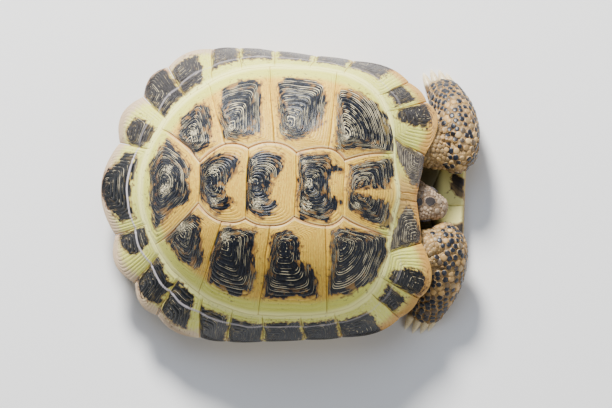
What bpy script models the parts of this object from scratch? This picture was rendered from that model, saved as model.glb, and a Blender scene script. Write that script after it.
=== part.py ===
"""Horsfield's tortoise at rest, life size: a still display model.

The tortoise lies on its plastron with the forelegs folded in front of the shell, elbows in, and
the head drawn half back. +X is forward, +Y the animal's left, +Z up. Lengths are in millimetres
here and turned to metres when a mesh is made.

The carapace is laid out on a flat map. Inside the costal seam, a map point is simply the plan
position on the dome. Outside it, the map radius grows by MARGINAL_BAND from seam to rim.
"""

import math

import bmesh
import bpy
import numpy as np
from mathutils import Vector

MM = 0.001
GAP = 0.5  # groove between two shell plates
CLEARANCE = 0.9  # flesh to the inner face of the shell
SKIN_CUT = 0.35  # thin cut between two pieces of flesh
FLESH_VOXEL = 1.2  # grain at which lofts are merged into one body
KEEPOUT_SPREAD, KEEPOUT_LIFT = 0.6, 0.7  # how much wider and higher a plastral keep-out is
TRIANGLES = {"foreleg": 320, "hindleg": 230, "neck": 115, "tail": 120}

# Carapace
DOME_TOP = 82.0
DOME_POWER = 2.5  # how flat the back is before it falls to the seam
SEAM_FRONT, SEAM_REAR, SEAM_HALF_WIDTH = 61.0, 64.2, 62.0
SEAM_POWER_FRONT, SEAM_POWER_REAR = 3.5, 1.9
SEAM_HEIGHT, SEAM_PITCH = 48.5, 5.0  # mean height, and how much higher it is in front
NUCHAL_BULGE = 3.0
MARGINAL_BAND = 24.0
PLATE_THICKNESS = 3.2
RIM_THICKNESS, MARGINAL_THICKNESS = 1.4, 5.6
SCUTE_RISE, MARGINAL_RISE = 1.1, 0.5  # each scute is a low tent
PLATE_LEVELS = (0.66, 0.33)  # rings on a dome plate between its border and its middle
SIDE_PITCH, ARC_PITCH = 9.0, 7.0  # spacing of points on straight and on curved borders
MITRE_LIMIT = 0.35  # how sharp a corner may be before its inset is cut short

# The seams between the marginal scutes, from the nuchal round to the tail, on the left side:
# angle, radius and height at the rim, angle on the costal seam, and how far the rim of the scute
# that ends there stands out between its seams.
MARGINAL_SEAMS = (
    (1.4, 73.4, 41.0, 1.6, 0.0),
    (16.0, 79.6, 38.5, 25.8, 0.3),
    (32.9, 91.0, 33.0, 35.8, 4.2),
    (41.5, 89.6, 29.6, 43.2, 0.6),
    (60.9, 79.8, 22.5, 60.0, 1.4),
    (74.1, 74.4, 20.0, 74.0, 0.1),
    (90.3, 73.2, 19.5, 90.5, 0.1),
    (104.2, 76.3, 20.0, 105.0, 0.2),
    (113.5, 79.4, 22.0, 119.5, 0.3),
    (130.8, 82.6, 24.0, 134.0, 1.6),
    (144.5, 80.8, 24.5, 147.7, 2.8),
    (163.2, 80.0, 23.5, 162.5, 4.6),
)
TAIL_SCALLOP = 5.0

# Corners of the vertebral row on the left: (x, half-width). An apex is where two costals meet.
VERTEBRAL_CORNERS = {
    "v12": (36.7, 14.1),
    "v23": (13.0, 15.8),
    "v34": (-11.1, 17.4),
    "v45": (-34.5, 10.4),
}
VERTEBRAL_APEXES = {"c12": (28.7, 19.2), "c23": (1.5, 20.5), "c34": (-22.5, 19.3)}
COSTAL_SEAM_ENDS = {"v1": 18.85, "c12": 63.0, "c23": 92.5, "c34": 122.0, "v5": 152.1}

# Plastron
PLASTRON_THICKNESS = 4.0
PLASTRON_FLAT = 46.0  # half-width that lies flat on the ground
BRIDGE_TURN = 68.0  # where the side of the bridge turns upward
BRIDGE_BAND = 30.0  # map width of the bridge
LIP_START, LIP_END, LIP_RISE = 60.0, 98.0, 9.0
HEEL_START, HEEL_END, HEEL_RISE = -40.0, -66.0, 3.0
AXILLA, GROIN = 49.0, -28.0  # where the bridge begins and ends

# Seams across the left half of the plastron on its map, each from the midline outwards.
LIP_EDGE = ((98.0, 0.0), (98.0, 17.5))
GULAR_SEAM = ((79.0, 0.0), (89.0, 26.5))
HUMERAL_SEAM = ((52.0, 0.0), (56.0, 45.0))
BRIDGE_FRONT = (*HUMERAL_SEAM, (AXILLA, 53.0), (AXILLA - 1.5, 76.0))
PECTORAL_SEAM = ((35.0, 0.0), (33.0, 76.0))
ABDOMINAL_SEAM = ((-26.0, 0.0), (-33.0, 45.0))
BRIDGE_REAR = (*ABDOMINAL_SEAM, (GROIN, 53.0), (GROIN + 1.5, 76.0))
FEMORAL_SEAM = ((-43.0, 0.0), (-54.0, 35.0))
ANAL_NOTCH = ((-56.0, 0.0), (-66.0, 9.0), (-65.0, 20.0))
# Each scute: its front seam, its rear seam, and how far its outer side bows out.
PLASTRON_SCUTES = {
    "gular": (LIP_EDGE, GULAR_SEAM, 1.0),
    "humeral": (GULAR_SEAM, HUMERAL_SEAM, 4.0),
    "pectoral": (BRIDGE_FRONT, PECTORAL_SEAM, 0.0),
    "abdominal": (PECTORAL_SEAM, BRIDGE_REAR, 0.0),
    "femoral": (ABDOMINAL_SEAM, FEMORAL_SEAM, 3.0),
    "anal": (FEMORAL_SEAM, ANAL_NOTCH, 2.0),
}

# Flesh. A station is a centre (x, y, z) and two half-widths: across and up.
UPPER_ARM = (
    ((50.0, 37.0, 28.0), (12.0, 12.0)),
    ((62.0, 36.0, 27.0), (12.5, 12.0)),
    ((73.0, 31.0, 26.0), (12.0, 11.5)),
    ((83.0, 27.0, 24.5), (11.0, 11.0)),
    ((90.0, 25.0, 24.0), (8.0, 9.0)),
)
FOREARM = (
    ((92.0, 18.5, 24.0), (6.5, 6.5)),
    ((92.0, 22.0, 24.0), (10.0, 9.5)),
    ((92.2, 29.0, 23.5), (11.5, 11.0)),
    ((92.0, 37.0, 20.5), (11.4, 11.0)),
    ((90.4, 45.0, 16.0), (10.7, 10.0)),
    ((87.4, 52.0, 10.5), (9.6, 8.5)),
    ((85.2, 57.0, 6.2), (8.6, 6.8)),
    ((84.0, 60.5, 4.4), (7.4, 5.0)),
    ((83.6, 62.3, 3.6), (5.4, 3.0)),
)
RIGHT_ARM_SHIFT = (-4.0, -5.0, 0.0)  # the right arm is drawn in more than the left
FORE_CLAWS = ((89.2, 60.3, 4.4), (85.4, 61.8, 4.3), (81.3, 61.8, 4.2), (77.6, 60.0, 4.0))
FORE_CLAW_DIRECTION = (-0.38, 0.9, -0.2)
FORE_CLAW_LENGTH = 9.0

THIGH = (
    ((-24.0, 32.0, 24.0), (12.0, 11.0)),
    ((-32.0, 42.0, 21.0), (12.0, 11.0)),
    ((-38.0, 50.0, 16.5), (11.0, 10.5)),
    ((-41.0, 54.0, 13.0), (8.5, 8.5)),
)
SHANK = (
    ((-38.0, 54.0, 12.0), (8.0, 8.5)),
    ((-43.5, 52.0, 11.0), (9.4, 9.6)),
    ((-49.0, 48.0, 9.0), (9.2, 9.4)),
    ((-53.5, 44.5, 7.2), (8.8, 8.2)),
    ((-57.0, 42.5, 5.4), (8.2, 6.4)),
    ((-59.0, 41.8, 4.2), (6.0, 4.0)),
)
HIND_CLAWS = ((-57.2, 47.0, 3.6), (-59.0, 43.6, 3.8), (-59.8, 40.0, 3.8), (-59.4, 36.6, 3.6))
HIND_CLAW_DIRECTION = (-0.94, 0.22, -0.26)
HIND_CLAW_LENGTH = 6.5
CLAW_RADIUS = 1.9

TAIL = (
    ((-46.0, 0.0, 15.0), (8.5, 8.0)),
    ((-55.0, 1.0, 13.5), (7.5, 7.0)),
    ((-63.0, 4.0, 11.5), (6.0, 5.6)),
    ((-69.0, 9.0, 9.6), (4.6, 4.4)),
    ((-72.0, 15.0, 8.0), (3.2, 3.2)),
    ((-73.0, 20.0, 6.8), (1.6, 1.6)),
)

NECK = (
    ((46.0, 0.5, 27.0), (13.5, 12.5)),
    ((56.0, 0.5, 26.5), (13.5, 12.5)),
    ((62.5, 0.2, 26.3), (12.6, 11.8)),
)
HEAD_BACK = (62.5, 1.8, 26.3)
HEAD_YAW, HEAD_PITCH = -12.0, -6.0  # degrees: turned to its right, nose a little down
# Along the head from its back: distance, half-width, height above and below the axis.
HEAD_STATIONS = (
    (0.0, 10.4, 9.4, 9.0),
    (4.5, 11.0, 10.0, 9.2),
    (9.0, 10.9, 10.2, 8.6),
    (13.5, 10.0, 9.9, 7.9),
    (17.0, 8.7, 9.0, 7.3),
    (20.0, 7.5, 7.7, 6.9),
    (22.5, 6.5, 6.4, 6.6),
    (24.6, 5.5, 5.2, 6.2),
    (26.0, 4.4, 4.1, 5.6),
    (26.9, 2.8, 2.6, 4.6),
)
SNOUT_CAP, SNOUT_DROP = 0.35, 1.0
HEAD_BOXINESS = 0.82  # 1 is a round section, less is squarer
BROW_RISE, BROW_AT = 0.9, (15.5, 50.0)  # distance along, and degrees up from the side
CHEEK_RISE, CHEEK_AT = 0.8, (8.0, -12.0)
EYE_AT = (16.4, 6.3, 2.4)  # along, out from and above the head's axis
EYE_RADIUS = 2.9

# Trunk: how much of the marginal band it fills at the ends and at the sides, its radius on the
# plastron (with what the front adds and the rear takes off), and how far its wall bows out at the
# sides and in at the ends, where the skin makes pockets for the neck, the limbs and the tail.
TRUNK_REACH_ENDS, TRUNK_REACH_SIDES = 0.36, 0.8
TRUNK_FOOT, TRUNK_FOOT_FRONT, TRUNK_FOOT_REAR = 54.0, 11.0, -3.0
TRUNK_BOW_SIDES, TRUNK_BOW_ENDS = 2.0, -9.0
FOOT_LIFT_SIDES = 0.9  # the plastron begins to turn up at the bridge

COLOURS = {
    "horn_dome": ((0.62, 0.47, 0.22), 0.45),
    "horn_marginal": ((0.72, 0.66, 0.34), 0.45),
    "horn_plastron": ((0.60, 0.50, 0.25), 0.5),
    "skin": ((0.42, 0.32, 0.20), 0.75),
    "eye": ((0.02, 0.015, 0.01), 0.1),
}


def material(name):
    """The named Principled finish, made once."""
    found = bpy.data.materials.get(name)
    if found:
        return found
    colour, roughness = COLOURS[name]
    found = bpy.data.materials.new(name)
    found.use_nodes = True
    shader = found.node_tree.nodes["Principled BSDF"]
    shader.inputs["Base Color"].default_value = (*colour, 1.0)
    shader.inputs["Roughness"].default_value = roughness
    return found


def add_mesh(name, points, faces, finish):
    """A closed mesh object from points in millimetres, its faces turned outwards."""
    mesh = bpy.data.meshes.new(name)
    mesh.from_pydata([tuple(float(c) * MM for c in p) for p in points], [], faces)
    shape = bmesh.new()
    shape.from_mesh(mesh)
    bmesh.ops.recalc_face_normals(shape, faces=shape.faces)
    bmesh.ops.triangulate(shape, faces=shape.faces)
    shape.to_mesh(mesh)
    shape.free()
    mesh.materials.append(material(finish))
    made = bpy.data.objects.new(name, mesh)
    bpy.context.scene.collection.objects.link(made)
    return made


def skin_over(name, rings, finish):
    """A closed mesh over rings of points. The first and last ring may be a single point."""
    points, faces, starts = [], [], []
    for ring in rings:
        starts.append(len(points))
        points.extend(ring)
    for k in range(len(rings) - 1):
        here, there = starts[k], starts[k + 1]
        n, m = len(rings[k]), len(rings[k + 1])
        for i in range(max(n, m)):
            j = (i + 1) % max(n, m)
            if n == 1:
                faces.append((here, there + i, there + j))
            elif m == 1:
                faces.append((here + i, there, here + j))
            else:
                faces.append((here + i, there + i, there + j, here + j))
    if len(rings[0]) > 1:
        faces.append(tuple(range(len(rings[0]))))
    if len(rings[-1]) > 1:
        faces.append(tuple(range(starts[-1], starts[-1] + len(rings[-1]))))
    return add_mesh(name, points, faces, finish)


# The carapace surface


def smooth_table(at, knots, values):
    """Cubic curve through the values, with each knot's slope taken from its two neighbours."""
    slopes = np.gradient(values, knots)
    k = np.clip(np.searchsorted(knots, at) - 1, 0, len(knots) - 2)
    span = knots[k + 1] - knots[k]
    t = (at - knots[k]) / span
    rise = values[k + 1] - values[k]
    a, b = slopes[k] * span - rise, rise - slopes[k + 1] * span
    return values[k] + t * rise + t * (1 - t) * (a * (1 - t) + b * t)


SEAM_TABLE = np.array(MARGINAL_SEAMS)
# The same seams from just right of the nuchal, by the left side, to just right of the tail.
RIM_KNOTS = np.concatenate(([-SEAM_TABLE[0, 0]], SEAM_TABLE[:, 0], [360 - SEAM_TABLE[-1, 0]]))
ROOT_KNOTS = np.concatenate(([-SEAM_TABLE[0, 3]], SEAM_TABLE[:, 3], [360 - SEAM_TABLE[-1, 3]]))
RIM_RADII = np.concatenate(([SEAM_TABLE[0, 1]], SEAM_TABLE[:, 1], [SEAM_TABLE[-1, 1]]))
RIM_HEIGHTS = np.concatenate(([SEAM_TABLE[0, 2]], SEAM_TABLE[:, 2], [SEAM_TABLE[-1, 2]]))
SCALLOPS = np.concatenate((SEAM_TABLE[:, 4], [TAIL_SCALLOP]))


def rim(angle, w=1.0):
    """Radius and height of the shell's edge below a place on the marginal band.

    The angle is in radians from straight ahead. w is 0 at the costal seam and 1 at the rim. The
    place is first followed outwards between its own two seams.
    """
    degrees = np.abs(np.degrees(np.arctan2(np.sin(angle), np.cos(angle))))
    w = np.clip(w, 0, 1) * np.ones_like(degrees)
    knots = ROOT_KNOTS + (RIM_KNOTS - ROOT_KNOTS) * w[..., None]
    k = np.clip(np.sum(degrees[..., None] > knots, axis=-1) - 1, 0, len(SCALLOPS) - 1)
    low = np.take_along_axis(knots, k[..., None], -1)[..., 0]
    high = np.take_along_axis(knots, k[..., None] + 1, -1)[..., 0]
    share = np.clip((degrees - low) / (high - low), 0, 1)
    at_rim = RIM_KNOTS[k] + share * (RIM_KNOTS[k + 1] - RIM_KNOTS[k])
    radius = smooth_table(at_rim, RIM_KNOTS, RIM_RADII) + SCALLOPS[k] * np.sin(np.pi * share)
    return radius, smooth_table(at_rim, RIM_KNOTS, RIM_HEIGHTS)


def seam_radius(angle):
    """Plan radius of the seam between costals and marginals: one superellipse before, one behind."""
    cosine, sine = np.cos(angle), np.abs(np.sin(angle))
    reach = np.where(cosine > 0, SEAM_FRONT, SEAM_REAR)
    power = np.where(cosine > 0, SEAM_POWER_FRONT, SEAM_POWER_REAR)
    total = (np.abs(cosine) / reach) ** power + (sine / SEAM_HALF_WIDTH) ** power
    wrapped = np.arctan2(np.sin(angle), cosine)
    return total ** (-1 / power) + NUCHAL_BULGE * np.exp(-((wrapped / 0.16) ** 2))


def carapace(chart):
    """Points on the shell for an array of map points."""
    angle = np.arctan2(chart[..., 1], chart[..., 0])
    radius = np.hypot(chart[..., 0], chart[..., 1])
    seam = seam_radius(angle)
    seam_z = SEAM_HEIGHT + SEAM_PITCH * np.cos(angle)
    inner = np.clip(radius / seam, 0, 1)
    dome_z = DOME_TOP - (DOME_TOP - seam_z) * inner**DOME_POWER
    w = (radius - seam) / MARGINAL_BAND
    edge_r, edge_z = rim(angle, w)
    bulge = 0.45 + 0.3 * np.sin(angle) ** 4  # upright at the bridge, flared in front and behind
    mid_r = seam + bulge * (edge_r - seam)
    mid_z = seam_z - (1 - bulge) * (seam_z - edge_z)
    band_r = (1 - w) ** 2 * seam + 2 * w * (1 - w) * mid_r + w * w * edge_r
    band_z = (1 - w) ** 2 * seam_z + 2 * w * (1 - w) * mid_z + w * w * edge_z
    outside = radius > seam
    r, z = np.where(outside, band_r, radius), np.where(outside, band_z, dome_z)
    return np.stack((r * np.cos(angle), r * np.sin(angle), z), axis=-1)


def normals(surface, chart, step=0.05):
    """Unit normals of a mapped surface, from its slopes along the two directions of the map."""
    along, across = np.array((step, 0.0)), np.array((0.0, step))
    a = surface(chart + along) - surface(chart - along)
    b = surface(chart + across) - surface(chart - across)
    n = np.cross(a, b)
    return n / np.linalg.norm(n, axis=-1, keepdims=True)


def carapace_depth(chart):
    """Thickness of the shell: thin at the rim, thick where the marginals carry the skin."""
    angle = np.arctan2(chart[..., 1], chart[..., 0])
    w = (np.hypot(chart[..., 0], chart[..., 1]) - seam_radius(angle)) / MARGINAL_BAND
    share = np.clip((1 - w) / 0.5, 0, 1)
    wedge = RIM_THICKNESS + (MARGINAL_THICKNESS - RIM_THICKNESS) * share
    return np.where(w > 0, wedge, PLATE_THICKNESS)


# The plastron surface


def bridge_edge(x):
    """Half-width and height of the carapace's lower edge at a station along the bridge."""
    angles = np.radians(np.linspace(40, 130, 91))
    radius, height = rim(angles)
    order = np.argsort(radius * np.cos(angles))
    stations = (radius * np.cos(angles))[order]
    across = (radius * np.sin(angles))[order]
    return np.interp(x, stations, across) - 1.2, np.interp(x, stations, height[order]) - 1.0


def plastron(chart):
    """Points on the underside: flat on the ground, turned up at the lip, the heel and the bridge."""
    x, across = chart[..., 0], chart[..., 1]
    side, out = np.sign(across), np.abs(across)
    edge_y, edge_z = bridge_edge(x)
    w = np.clip((out - PLASTRON_FLAT) / BRIDGE_BAND, 0, None)
    y = (1 - w) ** 2 * PLASTRON_FLAT + 2 * w * (1 - w) * BRIDGE_TURN + w * w * edge_y
    y = np.where(out < PLASTRON_FLAT, out, y)
    lip = np.clip((x - LIP_START) / (LIP_END - LIP_START), 0, None)
    heel = np.clip((x - HEEL_START) / (HEEL_END - HEEL_START), 0, None)
    z = LIP_RISE * lip**2 + HEEL_RISE * heel**2 + w * w * edge_z
    return np.stack((x, side * y, z), axis=-1)


# Plates


def along(corners, count, bow=0.0):
    """Evenly spaced points on a broken line, bowed out to the right of its direction."""
    corners = np.array(corners, float)
    steps = np.linalg.norm(np.diff(corners, axis=0), axis=1)
    reached = np.concatenate(([0.0], np.cumsum(steps)))
    share = np.linspace(0, 1, count)
    points = np.stack([np.interp(share * reached[-1], reached, corners[:, k]) for k in (0, 1)], axis=1)
    dx, dy = (corners[-1] - corners[0]) / np.linalg.norm(corners[-1] - corners[0])
    return points + np.outer(bow * np.sin(np.pi * share), (dy, -dx))


def line(start, end):
    """Points from start towards end, about one pitch apart, leaving out the end."""
    start, end = np.array(start, float), np.array(end, float)
    n = max(1, math.ceil(np.linalg.norm(end - start) / SIDE_PITCH))
    return start + (end - start) * (np.arange(n) / n)[:, None]


def band_point(degrees, share):
    """Map points on the marginal band at angles in degrees, from the costal seam (0) to the rim (1)."""
    angle = np.radians(degrees)
    radius = seam_radius(angle) + MARGINAL_BAND * share
    return np.stack((radius * np.cos(angle), radius * np.sin(angle)), axis=-1)


def arc(first, last):
    """Points along the costal seam between two angles in degrees, leaving out the last."""
    n = max(1, math.ceil(math.radians(abs(last - first)) * SEAM_HALF_WIDTH / ARC_PITCH))
    return band_point(first + (last - first) * np.arange(n) / n, 0.0)


def seam_point(degrees):
    """The map point on the costal seam at an angle in degrees."""
    return tuple(float(c) for c in band_point(degrees, 0.0))


def inset(border, distance):
    """The closed border moved inwards by a distance, square to its own sides."""
    before, after = np.roll(border, 1, axis=0), np.roll(border, -1, axis=0)
    x, y = border[:, 0], border[:, 1]
    turn = np.sign(np.sum(x * np.roll(y, -1) - np.roll(x, -1) * y))

    def inward(step):
        unit = step / np.linalg.norm(step, axis=1, keepdims=True)
        return turn * np.stack((-unit[:, 1], unit[:, 0]), axis=1)

    one, two = inward(border - before), inward(after - border)
    middle = (one + two) / np.linalg.norm(one + two, axis=1, keepdims=True)
    mitre = np.clip(np.sum(middle * one, axis=1, keepdims=True), MITRE_LIMIT, 1)
    return border + middle * distance / mitre


def dome_plate(name, border):
    """One plate of the dome: rings from its inner face's middle, round its edge, to its outer middle."""
    border = inset(np.asarray(border, float), GAP / 2)
    centre = border.mean(axis=0)

    def ring(share, inner):
        chart = centre + (border - centre) * share if share else centre[None, :]
        lift = -carapace_depth(chart) if inner else np.full(len(chart), SCUTE_RISE * (1 - share**2))
        return carapace(chart) + normals(carapace, chart) * lift[:, None]

    rings = [ring(0, True), ring(0.5, True), ring(1, True), ring(1, False)]
    rings += [ring(share, False) for share in PLATE_LEVELS] + [ring(0, False)]
    skin_over(name, rings, "horn_dome")


def fill(front, outer, rear, middle):
    """A grid of map points between four sides. Rows run from front to rear, columns outwards."""
    u = np.linspace(0, 1, len(outer))[:, None, None]
    v = np.linspace(0, 1, len(front))[None, :, None]
    ends = (1 - v) * middle[:, None] + v * outer[:, None]
    sides = (1 - u) * front[None] + u * rear[None]
    corners = (1 - u) * ((1 - v) * front[0] + v * front[-1]) + u * ((1 - v) * rear[0] + v * rear[-1])
    return ends + sides - corners


def patch(front, outer, rear, middle, distance):
    """The grid between four sides that share their corners, each moved inwards by a distance."""
    loop = np.vstack((front[:-1], outer[:-1], rear[:0:-1], middle[:0:-1]))
    loop = inset(loop, distance)
    loop = np.vstack((loop, loop[:1]))
    n, m = len(front) - 1, len(outer) - 1
    rear_reversed, middle_reversed = loop[n + m : 2 * n + m + 1], loop[2 * n + m :]
    return fill(loop[: n + 1], loop[n : n + m + 1], rear_reversed[::-1], middle_reversed[::-1])


def slab(name, chart, surface, heights, finish):
    """A solid between two sheets, each the mapped grid moved along its normals."""
    rows, columns = chart.shape[:2]
    normal = normals(surface, chart)
    sheets = [surface(chart) + normal * height[..., None] for height in heights]
    points = np.vstack([sheet.reshape(-1, 3) for sheet in sheets])
    number = np.arange(rows * columns).reshape(rows, columns)
    faces = []
    for start in (0, rows * columns):
        cells = (number[:-1, :-1], number[1:, :-1], number[1:, 1:], number[:-1, 1:])
        faces += [tuple(int(i) + start for i in cell) for cell in np.stack(cells, axis=-1).reshape(-1, 4)]
    edge = np.concatenate((number[0, :-1], number[:-1, -1], number[-1, :0:-1], number[:0:-1, 0]))
    for here, there in zip(edge, np.roll(edge, -1)):
        here, there = int(here), int(there)
        faces.append((here, there, there + rows * columns, here + rows * columns))
    return add_mesh(name, points, faces, finish)


def tent(chart, rise):
    """A low swelling over a grid: nothing at its sides, the full rise in its middle."""
    u = np.linspace(-1, 1, chart.shape[0])[:, None]
    v = np.linspace(-1, 1, chart.shape[1])[None, :]
    return rise * (1 - u**2) * (1 - v**2)


def both_sides(stem, number, make):
    """Calls make(name, side) for the left (1) and the right (-1)."""
    for side, word in ((1, "left"), (-1, "right")):
        make(f"{stem}_{word}" + (f"_{number}" if number else ""), side)


def dome_plates():
    """Five vertebrals and four pairs of costals."""
    corner, apex, end = VERTEBRAL_CORNERS, VERTEBRAL_APEXES, COSTAL_SEAM_ENDS
    halves = (
        (corner["v12"], seam_point(end["v1"])),
        (corner["v23"], apex["c12"], corner["v12"]),
        (corner["v34"], apex["c23"], corner["v23"]),
        (corner["v45"], apex["c34"], corner["v34"]),
        (seam_point(end["v5"]), corner["v45"]),
    )
    for number, half in enumerate(halves, 1):
        left = np.vstack([line(p, q) for p, q in zip(half, half[1:])])
        right = np.vstack([line(q, p) for p, q in zip(half[::-1][1:], half[::-1])]) * (1, -1)
        across_front = [line(half[-1], np.array(half[-1]) * (1, -1))]
        across_rear = [line(np.array(half[0]) * (1, -1), half[0])]
        if number == 1:
            across_front = [arc(end["v1"], -end["v1"])]
        if number == 5:
            across_rear = [arc(-end["v5"], end["v5"] - 360)]
        border = np.vstack([left, *across_front, right, *across_rear])
        dome_plate(f"vertebral_{number}", border)

    costals = (
        (("v1", "c12"), (seam_point(end["v1"]), corner["v12"], apex["c12"])),
        (("c12", "c23"), (apex["c12"], corner["v23"], apex["c23"])),
        (("c23", "c34"), (apex["c23"], corner["v34"], apex["c34"])),
        (("c34", "v5"), (apex["c34"], corner["v45"], seam_point(end["v5"]))),
    )
    for number, ((first, last), inner) in enumerate(costals, 1):
        sides = [line(p, q) for p, q in zip(inner, inner[1:])]
        if last != "v5":
            sides.append(line(inner[-1], seam_point(end[last])))
        sides.append(arc(end[last], end[first]))
        if first != "v1":
            sides.append(line(seam_point(end[first]), inner[0]))
        border = np.vstack(sides)

        def costal(name, side, border=border):
            shape = border if side > 0 else border[::-1] * (1, -1)
            dome_plate(name, shape)

        both_sides("costal", number, costal)


def marginal(name, seam_from, seam_to, rim_from, rim_to, rise):
    """A scute of the rim, between two seams given by their angles at both ends."""
    count = max(3, math.ceil(abs(rim_to - rim_from) / 6) + 1)
    inner = band_point(np.linspace(seam_from, seam_to, count), 0.0)
    outer = band_point(np.linspace(rim_from, rim_to, count), 1.0)
    share = np.linspace(0, 1, 5)
    first = band_point(seam_from + (rim_from - seam_from) * share, share)
    last = band_point(seam_to + (rim_to - seam_to) * share, share)
    chart = patch(first, outer, last, inner, GAP / 2)
    heights = (tent(chart, rise), -carapace_depth(chart))
    slab(name, chart, carapace, heights, "horn_marginal")


def marginal_plates():
    """The nuchal, eleven pairs of marginals and the undivided supracaudal."""
    seams = MARGINAL_SEAMS
    for number, (a, b) in enumerate(zip(seams, seams[1:]), 1):

        def make(name, side, a=a, b=b):
            marginal(name, a[3] * side, b[3] * side, a[0] * side, b[0] * side, MARGINAL_RISE)

        both_sides("marginal", number, make)
    first, last = seams[0], seams[-1]
    marginal("nuchal", -first[3], first[3], -first[0], first[0], 0.0)
    marginal("supracaudal", last[3], 360 - last[3], last[0], 360 - last[0], MARGINAL_RISE)


def plastron_chart(name, side, distance):
    """The map grid of a plastral scute, its border moved inwards."""
    front, rear, bow = PLASTRON_SCUTES[name]
    count = 11 if max(front[-1][1], rear[-1][1]) > PLASTRON_FLAT else 5
    front, rear = along(front, count), along(rear, count)
    outer = along((front[-1], rear[-1]), 5, bow)
    middle = along((front[0], rear[0]), 5)
    return patch(front, outer, rear, middle, distance) * (1, side)


def plastron_plates():
    """Six pairs of plastral scutes. The pectorals and abdominals carry the bridge."""
    for name in PLASTRON_SCUTES:

        def make(full_name, side, name=name):
            chart = plastron_chart(name, side, GAP / 2)
            flat = np.zeros(chart.shape[:-1])
            slab(full_name, chart, plastron, (flat, flat + PLASTRON_THICKNESS), "horn_plastron")

        both_sides(name, 0, make)


# Flesh


def frame_of(tangent):
    """Two directions square to a tangent: across, kept level, and up."""
    tangent = tangent / np.linalg.norm(tangent)
    across = np.cross((0.0, 0.0, 1.0), tangent)
    across /= np.linalg.norm(across)
    return across, np.cross(tangent, across)


def loft(stations, grow=0.0):
    """Rings of an oval limb along a smooth line through its stations, closed by end points."""
    sides, steps = 20, 4
    knots = np.arange(len(stations), dtype=float)
    table = np.array([(*centre, *radii) for centre, radii in stations])
    at = np.linspace(0, len(stations) - 1, (len(stations) - 1) * steps + 1)
    smooth = np.stack([smooth_table(at, knots, table[:, c]) for c in range(5)], axis=1)
    turn = np.linspace(0, 2 * np.pi, sides, endpoint=False)
    tangents = np.gradient(smooth[:, :3], axis=0)
    rings = []
    for (x, y, z, wide, high), tangent in zip(smooth, tangents):
        across, up = frame_of(tangent)
        oval = np.outer((wide + grow) * np.cos(turn), across) + np.outer((high + grow) * np.sin(turn), up)
        rings.append(oval + (x, y, z))
    for end, tangent, place in ((0, -tangents[0], 0), (-1, tangents[-1], len(rings) + 1)):
        cap = 0.6 * min(table[end, 3], table[end, 4]) + grow
        tip = smooth[end, :3] + tangent / np.linalg.norm(tangent) * cap
        rings.insert(place, tip[None, :])
    return rings


def helper(made):
    """A cutter or guide: it is left out of the model."""
    made.hide_render = True
    made.display_type = "WIRE"
    return made


def cut(made, cutter):
    """Takes the cutter's space out of a solid."""
    boolean = made.modifiers.new(f"without {cutter.name}", "BOOLEAN")
    boolean.operation = "DIFFERENCE"
    boolean.solver = "EXACT"
    boolean.object = cutter


def join(made, other):
    """Makes another solid part of this one."""
    boolean = made.modifiers.new(f"with {other.name}", "BOOLEAN")
    boolean.operation = "UNION"
    boolean.solver = "EXACT"
    boolean.object = helper(other)


def merged_flesh(name, lofts, triangles):
    """Several lofts made one rounded body, with its faces thinned to about a set number."""
    points, faces = [], []
    for number, rings in enumerate(lofts):
        piece = skin_over(f"{name}_{number}", rings, "skin")
        start = len(points)
        points.extend(tuple(c / MM for c in v.co) for v in piece.data.vertices)
        faces.extend(tuple(start + i for i in f.vertices) for f in piece.data.polygons)
        bpy.data.objects.remove(piece)
    made = add_mesh(name, points, faces, "skin")
    voxels = made.modifiers.new("one body", "REMESH")
    voxels.mode = "VOXEL"
    voxels.voxel_size = FLESH_VOXEL * MM
    soften = made.modifiers.new("soften", "SMOOTH")
    soften.factor, soften.iterations = 0.5, 6
    bpy.context.view_layer.update()
    graph = bpy.context.evaluated_depsgraph_get()
    full = sum(len(f.vertices) - 2 for f in made.evaluated_get(graph).data.polygons)
    thin = made.modifiers.new("thin", "DECIMATE")
    thin.ratio = min(1.0, triangles / full)
    return made


def trunk_rings(grow=0.0):
    """The body inside the shell, with a shallow pocket of skin before and behind."""
    angle = np.linspace(0, 2 * np.pi, 32, endpoint=False)
    away = np.stack((np.cos(angle), np.sin(angle)), axis=1)
    seam = seam_radius(angle)
    sideways = np.sin(angle) ** 2

    def under_shell(radius, depth):
        chart = away * np.asarray(radius).reshape(-1, 1)
        return carapace(chart) - normals(carapace, chart) * (depth + CLEARANCE - grow)

    rings = [under_shell(np.full(1, 0.01), PLATE_THICKNESS)[:1]]
    rings += [under_shell(seam * s, PLATE_THICKNESS) for s in (0.25, 0.5, 0.75)]
    rings += [under_shell(seam * s, MARGINAL_THICKNESS) for s in (0.93, 0.995)]
    reach = TRUNK_REACH_ENDS + (TRUNK_REACH_SIDES - TRUNK_REACH_ENDS) * sideways
    rings += [under_shell(seam + MARGINAL_BAND * reach * s, MARGINAL_THICKNESS) for s in (0.5, 1.0)]
    top = rings[-1]
    forward = np.cos(angle)
    foot_r = TRUNK_FOOT + TRUNK_FOOT_FRONT * np.clip(forward, 0, 1) ** 2
    foot_r += TRUNK_FOOT_REAR * np.clip(-forward, 0, 1)
    foot_z = PLASTRON_THICKNESS + CLEARANCE + FOOT_LIFT_SIDES * sideways - grow
    foot = np.column_stack((away * (foot_r + grow)[:, None], foot_z))
    bow = TRUNK_BOW_SIDES * sideways + TRUNK_BOW_ENDS * forward**4
    for v in (0.25, 0.5, 0.75):
        wall = top + (foot - top) * v
        wall[:, :2] += away * ((bow + grow) * math.sin(math.pi * v))[:, None]
        rings.append(wall)
    rings.append(foot)
    rings.append(np.array([(0.0, 0.0, PLASTRON_THICKNESS + CLEARANCE - grow)]))
    return rings


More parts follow.
